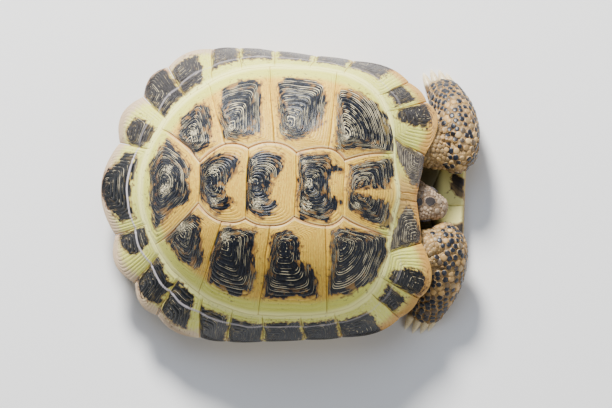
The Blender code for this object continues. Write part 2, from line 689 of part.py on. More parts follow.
def shell_keepout():
    """The space that the carapace fills, a little enlarged, which no flesh may enter."""
    angle = np.linspace(0, 2 * np.pi, 72, endpoint=False)
    away = np.stack((np.cos(angle), np.sin(angle)), axis=1)
    seam = seam_radius(angle)

    def level(radius, inner):
        chart = away * radius[:, None]
        depth = -(carapace_depth(chart) + CLEARANCE) if inner else np.full(len(chart), 1.0)
        return carapace(chart) + normals(carapace, chart) * depth[:, None]

    radii = [seam * s for s in (0.3, 0.6, 0.85, 0.99)]
    radii += [seam + MARGINAL_BAND * w for w in (0.02, 0.25, 0.5, 0.75, 1.03)]
    pole = np.array([(0.0, 0.0, DOME_TOP - PLATE_THICKNESS - CLEARANCE)])
    rings = [pole] + [level(r, True) for r in radii] + [level(r, False) for r in radii[::-1]]
    rings.append(np.array([(0.0, 0.0, DOME_TOP + 1.0)]))
    return helper(skin_over("shell_keepout", rings, "skin"))


def plastron_keepout():
    """The space that the plastron fills, a little enlarged."""
    parts = []
    for name in PLASTRON_SCUTES:
        for side in (1, -1):
            chart = plastron_chart(name, side, -KEEPOUT_SPREAD)
            flat = np.zeros(chart.shape[:-1])
            heights = (flat - 1.0, flat + PLASTRON_THICKNESS + KEEPOUT_LIFT)
            parts.append(helper(slab(f"keepout_{name}_{side}", chart, plastron, heights, "skin")))
    return parts


def ground():
    """A slab under the ground plane, which cuts the soles flat."""
    corners = [(x, y, z) for z in (-30, 0) for x, y in ((-150, -150), (150, -150), (150, 150), (-150, 150))]
    faces = [(0, 1, 2, 3), (4, 5, 6, 7), (0, 1, 5, 4), (1, 2, 6, 5), (2, 3, 7, 6), (3, 0, 4, 7)]
    return helper(add_mesh("ground", corners, faces, "skin"))


def claw(name, base, direction, length):
    """A cone with its root sunk in the toe, curved down a little towards its tip."""
    direction = np.array(direction) / np.linalg.norm(direction)
    across, up = frame_of(direction)
    turn = np.linspace(0, 2 * np.pi, 6, endpoint=False)
    rings = []
    for share, radius in ((-0.35, 1.0), (0.15, 0.95), (0.6, 0.6)):
        middle = np.array(base) + direction * length * share - up * 1.2 * max(share, 0) ** 2
        oval = np.outer(np.cos(turn), across) + np.outer(np.sin(turn), up) * 0.85
        rings.append(middle + oval * CLAW_RADIUS * radius)
    tip = np.array(base) + direction * length - up * 1.2
    rings.append(tip[None, :])
    return skin_over(name, rings, "skin")


def on_side(points, side, shift=(0, 0, 0)):
    """Stations or claw places for one side, the shift taken in the left side's own sense."""
    flip = np.array((1, side, 1))
    if isinstance(points[0][0], tuple):
        return [(tuple((np.array(c) + shift) * flip), radii) for c, radii in points]
    return [tuple((np.array(c) + shift) * flip) for c in points]


def legs(keepouts):
    """Fore and hind legs, each with its foot and claws in one body."""
    for side, word in ((1, "left"), (-1, "right")):
        shift = np.array(RIGHT_ARM_SHIFT if side < 0 else (0, 0, 0), float)
        arm = list(on_side(UPPER_ARM, side))
        for k in range(2, len(arm)):
            share = (k - 1) / (len(arm) - 2)
            arm[k] = (tuple(np.array(arm[k][0]) + shift * (1, side, 1) * share), arm[k][1])
        forearm = on_side(FOREARM, side, shift)
        leg = merged_flesh(f"foreleg_{word}", (loft(arm), loft(forearm)), TRIANGLES["foreleg"])
        direction = np.array(FORE_CLAW_DIRECTION) * (1, side, 1)
        for number, base in enumerate(on_side(FORE_CLAWS, side, shift), 1):
            join(leg, claw(f"fore_claw_{word}_{number}", base, direction, FORE_CLAW_LENGTH))
        for keepout in keepouts:
            cut(leg, keepout)

        lofts = (loft(on_side(THIGH, side)), loft(on_side(SHANK, side)))
        hind = merged_flesh(f"hindleg_{word}", lofts, TRIANGLES["hindleg"])
        direction = np.array(HIND_CLAW_DIRECTION) * (1, side, 1)
        for number, base in enumerate(on_side(HIND_CLAWS, side), 1):
            join(hind, claw(f"hind_claw_{word}_{number}", base, direction, HIND_CLAW_LENGTH))
        for keepout in keepouts:
            cut(hind, keepout)


def head_axes():
    """The head's directions: ahead, across to its left, and up."""
    yaw, pitch = math.radians(HEAD_YAW), math.radians(HEAD_PITCH)
    ahead = np.array((math.cos(pitch) * math.cos(yaw), math.cos(pitch) * math.sin(yaw), math.sin(pitch)))
    return (ahead, *frame_of(ahead))


def swelling(distance, turn, rise, place):
    """A soft bump on both sides of the head, centred at a distance and an angle from the side."""
    off_side = np.degrees(np.arcsin(np.sin(turn))) - place[1]
    return rise * np.exp(-(((distance - place[0]) / 4.0) ** 2) - (off_side / 26.0) ** 2)


def boxy(value):
    """A sine or cosine with its waves squared up a little, to flatten the crown and the cheeks."""
    return np.sign(value) * np.abs(value) ** HEAD_BOXINESS


def head_rings(grow=0.0):
    """Cross-sections of the head: flat-topped ovals with brows and cheeks, narrowing to the beak."""
    ahead, across, up = head_axes()
    table = np.array(HEAD_STATIONS)
    at = np.concatenate((np.linspace(0, 20, 9), table[6:, 0]))
    turn = np.linspace(0, 2 * np.pi, 26, endpoint=False)
    rings = []
    for distance in at:
        wide, above, below = (float(smooth_table(distance, table[:, 0], table[:, c])) for c in (1, 2, 3))
        extra = swelling(distance, turn, BROW_RISE, BROW_AT) + swelling(distance, turn, CHEEK_RISE, CHEEK_AT)
        high = np.where(np.sin(turn) > 0, above, below) + grow + extra
        sideways = (wide + grow + extra) * boxy(np.cos(turn))
        outline = np.outer(sideways, across) + np.outer(high * boxy(np.sin(turn)), up)
        back = grow if distance == at[0] else 0
        rings.append(np.array(HEAD_BACK) + ahead * (distance - back) + outline)
    tip = np.array(HEAD_BACK) + ahead * (at[-1] + SNOUT_CAP + grow) - up * SNOUT_DROP
    rings.append(tip[None, :])
    return rings


def ball(name, centre, radius, finish):
    """A faceted sphere."""
    shape = bmesh.new()
    bmesh.ops.create_uvsphere(shape, u_segments=12, v_segments=7, radius=radius * MM)
    bmesh.ops.translate(shape, verts=shape.verts, vec=Vector(centre) * MM)
    mesh = bpy.data.meshes.new(name)
    shape.to_mesh(mesh)
    shape.free()
    mesh.materials.append(material(finish))
    made = bpy.data.objects.new(name, mesh)
    bpy.context.scene.collection.objects.link(made)
    return made


def head_and_eyes():
    """The head with its two sockets, and an eye in each."""
    head = skin_over("head", head_rings(), "skin")
    ahead, across, up = head_axes()
    along, out, above = EYE_AT
    for side, word in ((1, "left"), (-1, "right")):
        centre = np.array(HEAD_BACK) + ahead * along + across * out * side + up * above
        cut(head, helper(ball(f"socket_{word}", centre, EYE_RADIUS + SKIN_CUT, "skin")))
        ball(f"eye_{word}", centre, EYE_RADIUS, "eye")


def stand_at_origin():
    """Moves everything so that the middle of the model's footprint is the origin."""
    graph = bpy.context.evaluated_depsgraph_get()
    low, high = np.full(3, np.inf), np.full(3, -np.inf)
    for made in bpy.context.scene.objects:
        if made.hide_render:
            continue
        points = np.array([v.co for v in made.evaluated_get(graph).data.vertices])
        low, high = np.minimum(low, points.min(axis=0)), np.maximum(high, points.max(axis=0))
    shift = Vector((-(low[0] + high[0]) / 2, -(low[1] + high[1]) / 2, -low[2]))
    for made in bpy.context.scene.objects:
        made.location = shift
    print("shift to origin, mm:", [round(c / MM, 4) for c in shift])


def main():
    for old in list(bpy.data.objects):
        bpy.data.objects.remove(old)
    dome_plates()
    marginal_plates()
    plastron_plates()
    skin_over("trunk", trunk_rings(), "skin")
    body = helper(skin_over("trunk_keepout", trunk_rings(SKIN_CUT), "skin"))
    skull = helper(skin_over("head_keepout", head_rings(SKIN_CUT), "skin"))
    throat = helper(skin_over("neck_keepout", loft(NECK, SKIN_CUT), "skin"))
    solid_ground = ground()
    shell = [shell_keepout(), *plastron_keepout(), solid_ground, body]
    head_and_eyes()
    neck = merged_flesh("neck", (loft(NECK),), TRIANGLES["neck"])
    for keepout in (body, skull):
        cut(neck, keepout)
    tail = merged_flesh("tail", (loft(TAIL),), TRIANGLES["tail"])
    legs([*shell, skull, throat])
    for keepout in shell:
        cut(tail, keepout)
    stand_at_origin()


main()
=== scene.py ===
"""Horsfield's tortoise at rest: the looks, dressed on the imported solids.

Shapes are worked out in millimetres in the shell's own frame, whose origin is under the middle of
the carapace. +X is forward, +Y the animal's left, +Z up. SHIFT turns them to the frame's place.
"""
import functools
import math

import bpy
import numpy as np
from bpy.props import FloatProperty, FloatVectorProperty, IntProperty, PointerProperty
from mathutils import Matrix, Vector
from mathutils.bvhtree import BVHTree
from numpy.linalg import norm


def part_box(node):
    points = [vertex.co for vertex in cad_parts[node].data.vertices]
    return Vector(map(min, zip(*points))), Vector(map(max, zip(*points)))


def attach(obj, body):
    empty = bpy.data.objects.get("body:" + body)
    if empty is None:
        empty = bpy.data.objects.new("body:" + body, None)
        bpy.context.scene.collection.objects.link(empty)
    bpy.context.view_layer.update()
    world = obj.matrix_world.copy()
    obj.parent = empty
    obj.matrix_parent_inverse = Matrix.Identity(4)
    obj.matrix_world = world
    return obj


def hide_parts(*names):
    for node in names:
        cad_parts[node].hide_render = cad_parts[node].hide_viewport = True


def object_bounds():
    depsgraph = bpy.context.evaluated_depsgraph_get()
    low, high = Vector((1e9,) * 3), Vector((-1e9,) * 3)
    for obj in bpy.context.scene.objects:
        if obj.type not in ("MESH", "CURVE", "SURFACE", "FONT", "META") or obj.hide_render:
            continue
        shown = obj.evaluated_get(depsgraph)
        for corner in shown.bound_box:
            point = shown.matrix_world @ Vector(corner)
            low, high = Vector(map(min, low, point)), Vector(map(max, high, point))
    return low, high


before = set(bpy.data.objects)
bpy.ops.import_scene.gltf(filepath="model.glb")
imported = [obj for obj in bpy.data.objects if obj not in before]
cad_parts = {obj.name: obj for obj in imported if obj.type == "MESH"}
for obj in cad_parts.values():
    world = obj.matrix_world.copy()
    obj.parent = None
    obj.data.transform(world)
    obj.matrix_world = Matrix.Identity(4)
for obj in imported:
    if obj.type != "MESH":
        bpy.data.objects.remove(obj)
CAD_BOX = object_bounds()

bl_info = {
    "name": "Horsfield's tortoise",
    "version": (1, 0, 0),
    "blender": (4, 5, 0),
    "location": "3D View > Sidebar > Tortoise",
    "description": "Scutes, skin, scales, claws and eyes of a life-size display tortoise",
    "category": "Object",
}

MM = 0.001
SIDES = ((1, "left"), (-1, "right"))
HIDDEN_RADIUS = 48.0  # skin nearer to the middle than this is deep under the shell
LID_SPLIT = 25.0  # height between the two lids that close it

# ======== The shell's form, as in the solids ========

GAP = 0.5  # groove between two shell plates in the solids
DOME_TOP = 82
DOME_POWER = 2.5
SEAM_FRONT, SEAM_REAR, SEAM_HALF_WIDTH = 61, 64.2, 62
SEAM_POWER_FRONT, SEAM_POWER_REAR = 3.5, 1.9
SEAM_HEIGHT, SEAM_PITCH = 48.5, 5
NUCHAL_BULGE = 3
MARGINAL_BAND = 24
PLATE_THICKNESS = 3.2
RIM_THICKNESS, MARGINAL_THICKNESS = 1.4, 5.6

# Seams between the marginal scutes, nuchal to tail on the left: angle, radius and height at the
# rim, angle on the costal seam, and how far the rim of the scute that ends there stands out.
MARGINAL_SEAMS = (
    (1.4, 73.4, 41, 1.6, 0),
    (16, 79.6, 38.5, 25.8, 0.3),
    (32.9, 91, 33, 35.8, 4.2),
    (41.5, 89.6, 29.6, 43.2, 0.6),
    (60.9, 79.8, 22.5, 60, 1.4),
    (74.1, 74.4, 20, 74, 0.1),
    (90.3, 73.2, 19.5, 90.5, 0.1),
    (104.2, 76.3, 20, 105, 0.2),
    (113.5, 79.4, 22, 119.5, 0.3),
    (130.8, 82.6, 24, 134, 1.6),
    (144.5, 80.8, 24.5, 147.7, 2.8),
    (163.2, 80, 23.5, 162.5, 4.6),
)
TAIL_SCALLOP = 5

VERTEBRAL_CORNERS = {
    "v12": (36.7, 14.1),
    "v23": (13, 15.8),
    "v34": (-11.1, 17.4),
    "v45": (-34.5, 10.4),
}
VERTEBRAL_APEXES = {"c12": (28.7, 19.2), "c23": (1.5, 20.5), "c34": (-22.5, 19.3)}
COSTAL_SEAM_ENDS = {"v1": 18.85, "c12": 63, "c23": 92.5, "c34": 122, "v5": 152.1}

PLASTRON_THICKNESS = 4
PLASTRON_FLAT = 46
BRIDGE_TURN = 68
BRIDGE_BAND = 30
LIP_START, LIP_END, LIP_RISE = 60, 98, 9
HEEL_START, HEEL_END, HEEL_RISE = -40, -66, 3
AXILLA, GROIN = 49, -28

LIP_EDGE = ((98, 0), (98, 17.5))
GULAR_SEAM = ((79, 0), (89, 26.5))
HUMERAL_SEAM = ((52, 0), (56, 45))
BRIDGE_FRONT = (*HUMERAL_SEAM, (AXILLA, 53), (AXILLA - 1.5, 76))
PECTORAL_SEAM = ((35, 0), (33, 76))
ABDOMINAL_SEAM = ((-26, 0), (-33, 45))
BRIDGE_REAR = (*ABDOMINAL_SEAM, (GROIN, 53), (GROIN + 1.5, 76))
FEMORAL_SEAM = ((-43, 0), (-54, 35))
ANAL_NOTCH = ((-56, 0), (-66, 9), (-65, 20))
PLASTRON_SCUTES = {
    "gular": (LIP_EDGE, GULAR_SEAM, 1),
    "humeral": (GULAR_SEAM, HUMERAL_SEAM, 4),
    "pectoral": (BRIDGE_FRONT, PECTORAL_SEAM, 0),
    "abdominal": (PECTORAL_SEAM, BRIDGE_REAR, 0),
    "femoral": (ABDOMINAL_SEAM, FEMORAL_SEAM, 3),
    "anal": (FEMORAL_SEAM, ANAL_NOTCH, 2),
}

# ======== The flesh's form, as in the solids ========

# A station is a centre (x, y, z) and two half-widths: across and up.
CLEARANCE = 0.9  # flesh to the inner face of the shell
UPPER_ARM = (
    ((50, 37, 28), (12, 12)),
    ((62, 36, 27), (12.5, 12)),
    ((73, 31, 26), (12, 11.5)),
    ((83, 27, 24.5), (11, 11)),
    ((90, 25, 24), (8, 9)),
)
FOREARM = (
    ((92, 18.5, 24), (6.5, 6.5)),
    ((92, 22, 24), (10, 9.5)),
    ((92.2, 29, 23.5), (11.5, 11)),
    ((92, 37, 20.5), (11.4, 11)),
    ((90.4, 45, 16), (10.7, 10)),
    ((87.4, 52, 10.5), (9.6, 8.5)),
    ((85.2, 57, 6.2), (8.6, 6.8)),
    ((84, 60.5, 4.4), (7.4, 5)),
    ((83.6, 62.3, 3.6), (5.4, 3)),
)
RIGHT_ARM_SHIFT = (-4, -5, 0)
FORE_CLAWS = ((89.2, 60.3, 4.4), (85.4, 61.8, 4.3), (81.3, 61.8, 4.2), (77.6, 60, 4))
FORE_CLAW_DIRECTION = (-0.38, 0.9, -0.2)
FORE_CLAW_LENGTH = 9
THIGH = (
    ((-24, 32, 24), (12, 11)),
    ((-32, 42, 21), (12, 11)),
    ((-38, 50, 16.5), (11, 10.5)),
    ((-41, 54, 13), (8.5, 8.5)),
)
SHANK = (
    ((-38, 54, 12), (8, 8.5)),
    ((-43.5, 52, 11), (9.4, 9.6)),
    ((-49, 48, 9), (9.2, 9.4)),
    ((-53.5, 44.5, 7.2), (8.8, 8.2)),
    ((-57, 42.5, 5.4), (8.2, 6.4)),
    ((-59, 41.8, 4.2), (6, 4)),
)
HIND_CLAWS = ((-57.2, 47, 3.6), (-59, 43.6, 3.8), (-59.8, 40, 3.8), (-59.4, 36.6, 3.6))
HIND_CLAW_DIRECTION = (-0.94, 0.22, -0.26)
HIND_CLAW_LENGTH = 6.5
CLAW_RADIUS = 1.9
TAIL = (
    ((-46, 0, 15), (8.5, 8)),
    ((-55, 1, 13.5), (7.5, 7)),
    ((-63, 4, 11.5), (6, 5.6)),
    ((-69, 9, 9.6), (4.6, 4.4)),
    ((-72, 15, 8), (3.2, 3.2)),
    ((-73, 20, 6.8), (1.6, 1.6)),
)
NECK = (
    ((46, 0.5, 27), (13.5, 12.5)),
    ((56, 0.5, 26.5), (13.5, 12.5)),
    ((62.5, 0.2, 26.3), (12.6, 11.8)),
)
HEAD_BACK = (62.5, 1.8, 26.3)
HEAD_YAW, HEAD_PITCH = -12, -6
# Along the head from its back: distance, half-width, height above and below the axis.
HEAD_STATIONS = (
    (0, 10.4, 9.4, 9),
    (4.5, 11, 10, 9.2),
    (9, 10.9, 10.2, 8.6),
    (13.5, 10, 9.9, 7.9),
    (17, 8.7, 9, 7.3),
    (20, 7.5, 7.7, 6.9),
    (22.5, 6.5, 6.4, 6.6),
    (24.6, 5.5, 5.2, 6.2),
    (26, 4.4, 4.1, 5.6),
    (26.9, 2.8, 2.6, 4.6),
)
HEAD_LENGTH = HEAD_STATIONS[-1][0]
SNOUT_CAP, SNOUT_DROP = 0.35, 1
HEAD_BOXINESS = 0.82
BROW_RISE, BROW_AT = 0.9, (15.5, 50)
CHEEK_RISE, CHEEK_AT = 0.8, (8, -12)
EYE_AT = (16.4, 6.3, 2.4)  # along, out from and above the head's axis
EYE_RADIUS = 2.9
TRUNK_REACH_ENDS, TRUNK_REACH_SIDES = 0.36, 0.8
TRUNK_FOOT, TRUNK_FOOT_FRONT, TRUNK_FOOT_REAR = 54, 11, -3
TRUNK_BOW_SIDES, TRUNK_BOW_ENDS = 2, -9
FOOT_LIFT_SIDES = 0.9

SKIN_DEPTH = 0.45  # how far the skin lies inside the solids, for the scales on it
FLESH_NODES = ("trunk", "neck", "head", "tail", "foreleg_left", "foreleg_right", "hindleg_left",
               "hindleg_right")
# The mouth's line on the head: distance along, height over the axis.
MOUTH_LINE = ((11, -4.6), (15, -3.2), (20, -2.6), (24, -2.4), (27.5, -2))
EYE_OPENING = (2.35, 1.6)  # half-length and half-height
# Deep creases across the forelegs near the shell: both ends seen from above.
CREASES = (
    ((77.5, -31.5), (87, -24.5)),
    ((79, -34.5), (88, -33.2)),
    ((84, 33.6), (92.5, 32.4)),
    ((85, 29.6), (95, 25.4)),
    ((84.5, 37.6), (89.5, 37.2)),
)
CREASE_DEPTH, CREASE_WIDTH = 1.3, 0.75
SCALE_SIDES = 9
# Folds: spacing, height, and how far along the limb they fade out.
FOLDS = {
    "neck": (3.4, 0.55, 99),
    "upper": (3, 0.5, 99),
    "forearm": (2.6, 0.22, 12),
    "thigh": (3, 0.45, 99),
    "shank": (2.4, 0.2, 9),
    "tail": (2.2, 0.3, 16),
}
# Scales: spacing near the shell and at the far end, height, and how dark their middles are there.
SCALE_KINDS = {
    "neck": (1.7, 1.7, 0.28, 0, 0),
    "tail": (2, 1.8, 0.32, 0.2, 0.5),
    "upper": (2, 2.5, 0.4, 0.1, 0.6),
    "forearm": (3.2, 3.4, 0.66, 1, 1),
    "thigh": (2.1, 2.6, 0.4, 0.1, 0.5),
    "shank": (2.7, 2.9, 0.5, 0.6, 0.9),
}
# Large plates on the head: distance along, angle round, half-length, half-width and darkness.
HEAD_PLATES = (
    (16.6, 84, 3.1, 2.9, 0.92),
    (21.4, 106, 1.5, 1.6, 0.3),
    (21.4, 70, 1.5, 1.6, 0.3),
    (11.4, 92, 1.9, 2.3, 0.9),
    (11, 55, 1.6, 1.8, 0.25),
    (11, 125, 1.6, 1.8, 0.25),
    (24.6, 88, 1.2, 1.6, 0.5),
)

# The foremost point of the gular scutes ties the shell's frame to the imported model's.
SHIFT = np.array((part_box("gular_left")[1].x / MM - (LIP_EDGE[0][0] - GAP / 2), 0, 0))

# ======== Markings ========

# Dome corners are on the shell's map. Rim corners are shares: front to rear seam, then costal seam to
# rim. Each dome scute has the place where it began to grow, the places where it has worn to cream horn,
# as a middle and a radius, and the outlines of its dark blotches.
DOME_SCUTES = {
    "vertebral_1": ((42.5, 0), ((43, -7.9, 3),),
        ((39, 11.5), (59.5, 18), (60, 9.5), (58, 2), (39, -0.3)),
        ((38.5, -0.8), (60, -5.5), (60.5, -18), (52.5, -15.5), (39, -9.5))),
    "vertebral_2": ((18.5, 1.5), ((18.4, -10, 4.5), (17, 10.9, 2), (19, 0.5, 3)),
        ((14.5, 15), (28, 16), (29.5, 12), (37, 9), (30, 6.5), (29.5, 1.5), (30, -4.5), (35.5, -6.5),
         (32, -12), (29.5, -16.5), (15.5, -16.5), (14, -3))),
    "vertebral_3": ((-7.5, -0.5), ((-7.5, 10.9, 2.6), (-5.5, -9.9, 5), (-8.5, 1, 2)),
        ((-11.5, 13), (-4.5, 16.5), (5, 14.5), (6, 8.5), (4.5, 5), (1, 2.5), (0.5, -6.5), (5, -10.5),
         (1, -15), (-3.5, -16.5), (-11.5, -12.5))),
    "vertebral_4": ((-29.5, 0), ((-27, 5.9, 3.4), (-26, -9.8, 3)),
        ((-34.5, 8.5), (-28, 14.5), (-20, 14), (-15.5, 11.5), (-15.5, 6), (-19.5, 1.5), (-22, -1),
         (-21, -6), (-16.5, -9.5), (-20, -13.5), (-25, -15.5), (-35.5, -5))),
    "vertebral_5": ((-51.5, 0.5), ((-50, 6.7, 4), (-50.7, -2.5, 4.6)),
        ((-52, 22.5), (-43.5, 12.5), (-39, 7), (-41, 1), (-38, -4), (-40, -8.5), (-46.5, -12.5),
         (-55, -21.5), (-58.5, -10), (-59.5, 10))),
    "costal_left_1": ((36, 26.5), ((36.5, 25.2, 2),),
        ((32.5, 19), (31.5, 46.5), (35, 50), (42, 49.5), (50.5, 44.5), (56, 38), (59.5, 31), (60, 22),
         (45, 20.5))),
    "costal_left_2": ((8.5, 30), ((6.5, 25.4, 2.4),),
        ((2.5, 51), (4, 25), (7, 22), (15, 22.5), (19, 27.5), (24, 29), (26.5, 44), (22.5, 52.5),
         (15, 55), (5, 54.5))),
    "costal_left_3": ((-20, 27), ((-19.9, 27.1, 2.8),),
        ((-25.5, 48), (-24.5, 23), (-18, 21.5), (-12, 23), (-6, 25), (-5, 33), (-6, 51.5), (-10.5, 53.5),
         (-16.5, 52.5))),
    "costal_left_4": ((-40, 20), ((-38, 25, 3),),
        ((-33.5, 41.5), (-30, 35), (-30, 18), (-38, 14), (-46, 22.5), (-44.5, 34))),
    "costal_right_1": ((36, -26.5), (),
        ((31.5, -21.5), (40, -19.5), (58.5, -21.5), (58.5, -30), (54.5, -41.5), (40, -50.5), (31.5, -50.5))),
    "costal_right_2": ((7.5, -28.5), (),
        ((2.5, -24.5), (9, -22), (15, -25), (17.5, -37), (24, -40), (25.5, -52), (0, -54), (-0.5, -44),
         (2, -39))),
    "costal_right_3": ((-20.5, -29), ((-19.7, -26.1, 4),),
        ((-24.5, -25), (-19.5, -21.5), (-6, -23), (-5.5, -50.5), (-16.5, -53.5), (-20.5, -51),
         (-28.5, -45.5), (-27, -35))),
    "costal_right_4": ((-41, -23.5), ((-41, -21, 4.4),),
        ((-42.5, -13), (-32.5, -17.5), (-31.5, -37.5), (-35, -41), (-43, -35), (-51, -25), (-46.5, -18))),
}
# How much more, or less, of the cream lines shows on a dome scute than on the others. The lines are partly
# a painted glint, so more of them is painted light and fewer is painted shade; right-side scutes not
# listed get 0.12 fewer, as painted shade on that side.
DOME_LIT = {"vertebral_5": -0.18, "costal_left_1": 0.16, "costal_right_1": 0, "costal_left_4": -0.08}
RIM_BLOTCHES = {
    "left": (
        ((0.22, 0.62), (0.24, 0.98), (0.97, 1), (0.97, 0.08), (0.62, 0.2), (0.42, 0.42)),
        ((0.62, 0.2), (0.46, 0.5), (0.46, 0.78), (0.6, 0.86), (0.97, 0.9), (0.97, 0.3), (0.85, 0.18)),
        ((0.2, 0.25), (0.98, 0.25), (0.98, 0.7), (0.2, 0.72)),
        ((0.35, 0.34), (0.97, 0.34), (0.97, 1.05), (0.35, 1.05)),
        ((0.12, 0.32), (0.9, 0.3), (0.9, 1.05), (0.12, 1.05)),
        ((0.12, 0.3), (0.88, 0.3), (0.88, 1.05), (0.12, 1.05)),
        ((0.1, 0.26), (0.9, 0.3), (0.9, 1.05), (0.1, 1.05)),
        ((0.1, 0.3), (0.92, 0.26), (0.92, 1.05), (0.1, 1.05)),
        ((0.25, 0.12), (0.97, 0.1), (0.97, 0.8), (0.3, 0.8)),
        ((0.06, 0.12), (0.95, 0.12), (0.97, 0.85), (0.9, 0.96), (0.1, 0.96)),
        ((0.38, 0.15), (0.75, 0.1), (0.97, 0.3), (0.97, 0.65), (0.75, 0.76), (0.38, 0.64)),
    ),
    "right": (
        ((0.15, 0.42), (0.12, 0.7), (0.42, 0.84), (0.7, 0.96), (0.95, 0.95), (0.97, 0.08), (0.7, 0.06),
         (0.48, 0.18)),
        ((0.62, 0.2), (0.46, 0.5), (0.46, 0.78), (0.6, 0.86), (0.97, 0.9), (0.97, 0.3), (0.85, 0.18)),
        ((0.2, 0.25), (0.98, 0.25), (0.98, 0.72), (0.2, 0.72)),
        ((0.35, 0.3), (0.97, 0.3), (0.97, 1.05), (0.35, 1.05)),
        ((0.05, 0.24), (0.95, 0.22), (0.95, 1.05), (0.05, 1.05)),
        ((0.05, 0.22), (0.94, 0.24), (0.94, 1.05), (0.05, 1.05)),
        ((0.05, 0.25), (0.95, 0.22), (0.95, 1.05), (0.05, 1.05)),
        ((0.05, 0.22), (0.97, 0.2), (0.97, 1.05), (0.05, 1.05)),
        ((0.25, 0.1), (0.97, 0.1), (0.97, 0.8), (0.3, 0.8)),
        ((0.05, 0.2), (0.95, 0.08), (0.97, 0.85), (0.5, 0.85), (0.1, 0.7)),
        ((0.42, 0.35), (0.5, 0.1), (0.95, 0.12), (0.97, 0.82), (0.75, 0.75), (0.45, 0.55)),
    ),
}
TAIL_BLOTCHES = (
    ((0.1, 0.3), (0.1, 0.66), (0.2, 0.72), (0.25, 0.8), (0.36, 0.95), (0.52, 0.98), (0.66, 0.88),
     (0.8, 0.75), (0.88, 0.62), (0.86, 0.28)),
    ((0.15, 0.2), (0.2, 0.32), (0.42, 0.3), (0.4, 0.2), (0.3, 0.22)),
    ((0.47, 0.24), (0.47, 0.32), (0.6, 0.32), (0.6, 0.26)),
)
RIM_AREOLA = (0.84, 0.82)
TAIL_AREOLA = (0.5, 0.9)
# How strongly the raised line shows on each marginal, and how far the dark has turned grey-lilac there:
# partly bleached horn, partly a painted sheen, stronger on the lit left side.
RIM_LINES = {
    "left": (0, 0, 0.2, 0.3, 0.35, 0.35, 0.4, 0.3, 0.3, 0.35, 0.2),
    "right": (0, 0.2, 0.2, 0.3, 0.4, 0.45, 0.5, 0.6, 0.85, 0.9, 0.95),
}
RIM_FADING_AND_SHEEN = {
    "left": (0.4, 0.15, 0.2, 0.35, 0.4, 0.4, 0.4, 0.35, 0.2, 0.15, 0.15),
    "right": (0.2, 0, 0, 0, 0, 0, 0, 0, 0, 0, 0.05),
}
# Dark corners on the upper face of the lip, left and right: shares front to rear, midline outwards.
LIP_BLOTCHES = {
    "left": ((0, 0.2), (0, 0.75), (0.5, 0.75), (0.4, 0.35)),
    "right": ((-0.1, 0.5), (-0.1, 1.1), (0.62, 1.1), (0.6, 0.75), (0.3, 0.45)),
}
BELLY_BLOTCH = ((0.12, 0.15), (0.88, 0.15), (0.8, 0.72), (0.2, 0.72))
# What the middle of the view rests on: forward and to the right of the shell's middle.
CAMERA_CENTRE = np.array((18.2, -5.6, 45))

RIM_LINE = 0.35  # share of the marginal band at which a pale raised line runs
SEAM_BOW = 1.1  # how far a side of a vertebral scute bows outwards
SEAM_INSET = 0.06  # half of the hairline between two scutes


# ======== Number helpers ========


def ramp(value, low, high):
    """0 below low, 1 above high, and a smooth step between."""
    share = np.clip((value - low) / (high - low), 0, 1)
    return share * share * (3 - 2 * share)


def scatter(*whole):
    """A repeatable number from 0 to 1 for whole numbers: the fraction of a large sine."""
    total = sum(n * k for n, k in zip(whole, (12.9898, 78.233, 37.719, 9.131)))
    return np.modf(np.abs(np.sin(total)) * 43758.5453)[0]


def drift(x, y, seed=0, wrap=None):
    """Smooth noise from 0 to 1: values at whole numbers, blended by smooth steps. It may wrap in x."""
    i, j = np.floor(x), np.floor(y)
    u, v = ramp(x - i, 0, 1), ramp(y - j, 0, 1)
    k = i + 1
    if wrap:
        i, k = i % wrap, k % wrap
    low = scatter(i, j, seed) * (1 - u) + scatter(k, j, seed) * u
    high = scatter(i, j + 1, seed) * (1 - u) + scatter(k, j + 1, seed) * u
    return low * (1 - v) + high * v


def unit(vectors):
    """Vectors brought to length 1."""
    return vectors / norm(vectors, axis=-1, keepdims=True)


def level(ahead):
    """Unit vectors to the left of directions, and upwards from both."""
    across = unit(np.cross((0, 0, 1), ahead))
    return across, np.cross(ahead, across)


def circle(count):
    """Angles spaced evenly round a circle, from 0."""
    return np.linspace(0, 2 * np.pi, count, endpoint=False)


def compass(angle):
    """Unit vectors in plan at angles from +X."""
    return np.stack((np.cos(angle), np.sin(angle)), axis=-1)


def distances(line):
    """The distance along a broken line at each of its points."""
    return np.concatenate(([0], np.cumsum(norm(np.diff(line, axis=0), axis=1))))


def inside_distance(points, corners):
    """Distance to a closed outline, positive inside it and negative outside."""
    corners = np.array(corners, float)
    nearest = np.full(points.shape[:-1], 1e9)
    inside = np.zeros(points.shape[:-1], bool)
    for a, b in zip(corners, np.roll(corners, -1, axis=0)):
        side = b - a
        share = np.clip(((points - a) @ side) / max(side @ side, 1e-9), 0, 1)
        gap = norm(points - a - share[..., None] * side, axis=-1)
        nearest = np.minimum(nearest, gap)
        crosses = (a[1] > points[..., 1]) != (b[1] > points[..., 1])
        level = side[1] if side[1] else 1e-9
        inside ^= crosses & (points[..., 0] < a[0] + (points[..., 1] - a[1]) * side[0] / level)
    return np.where(inside, nearest, -nearest)


def smooth_table(at, knots, values):
    """Cubic curve through the values, with each knot's slope taken from its two neighbours."""
    slopes = np.gradient(values, knots)
    k = np.clip(np.searchsorted(knots, at) - 1, 0, len(knots) - 2)
    span = knots[k + 1] - knots[k]
    t = (at - knots[k]) / span
    rise = values[k + 1] - values[k]
    a, b = slopes[k] * span - rise, rise - slopes[k + 1] * span
    return values[k] + t * rise + t * (1 - t) * (a * (1 - t) + b * t)


# ======== Shell surfaces on their maps ========

SEAM_TABLE = np.array(MARGINAL_SEAMS)
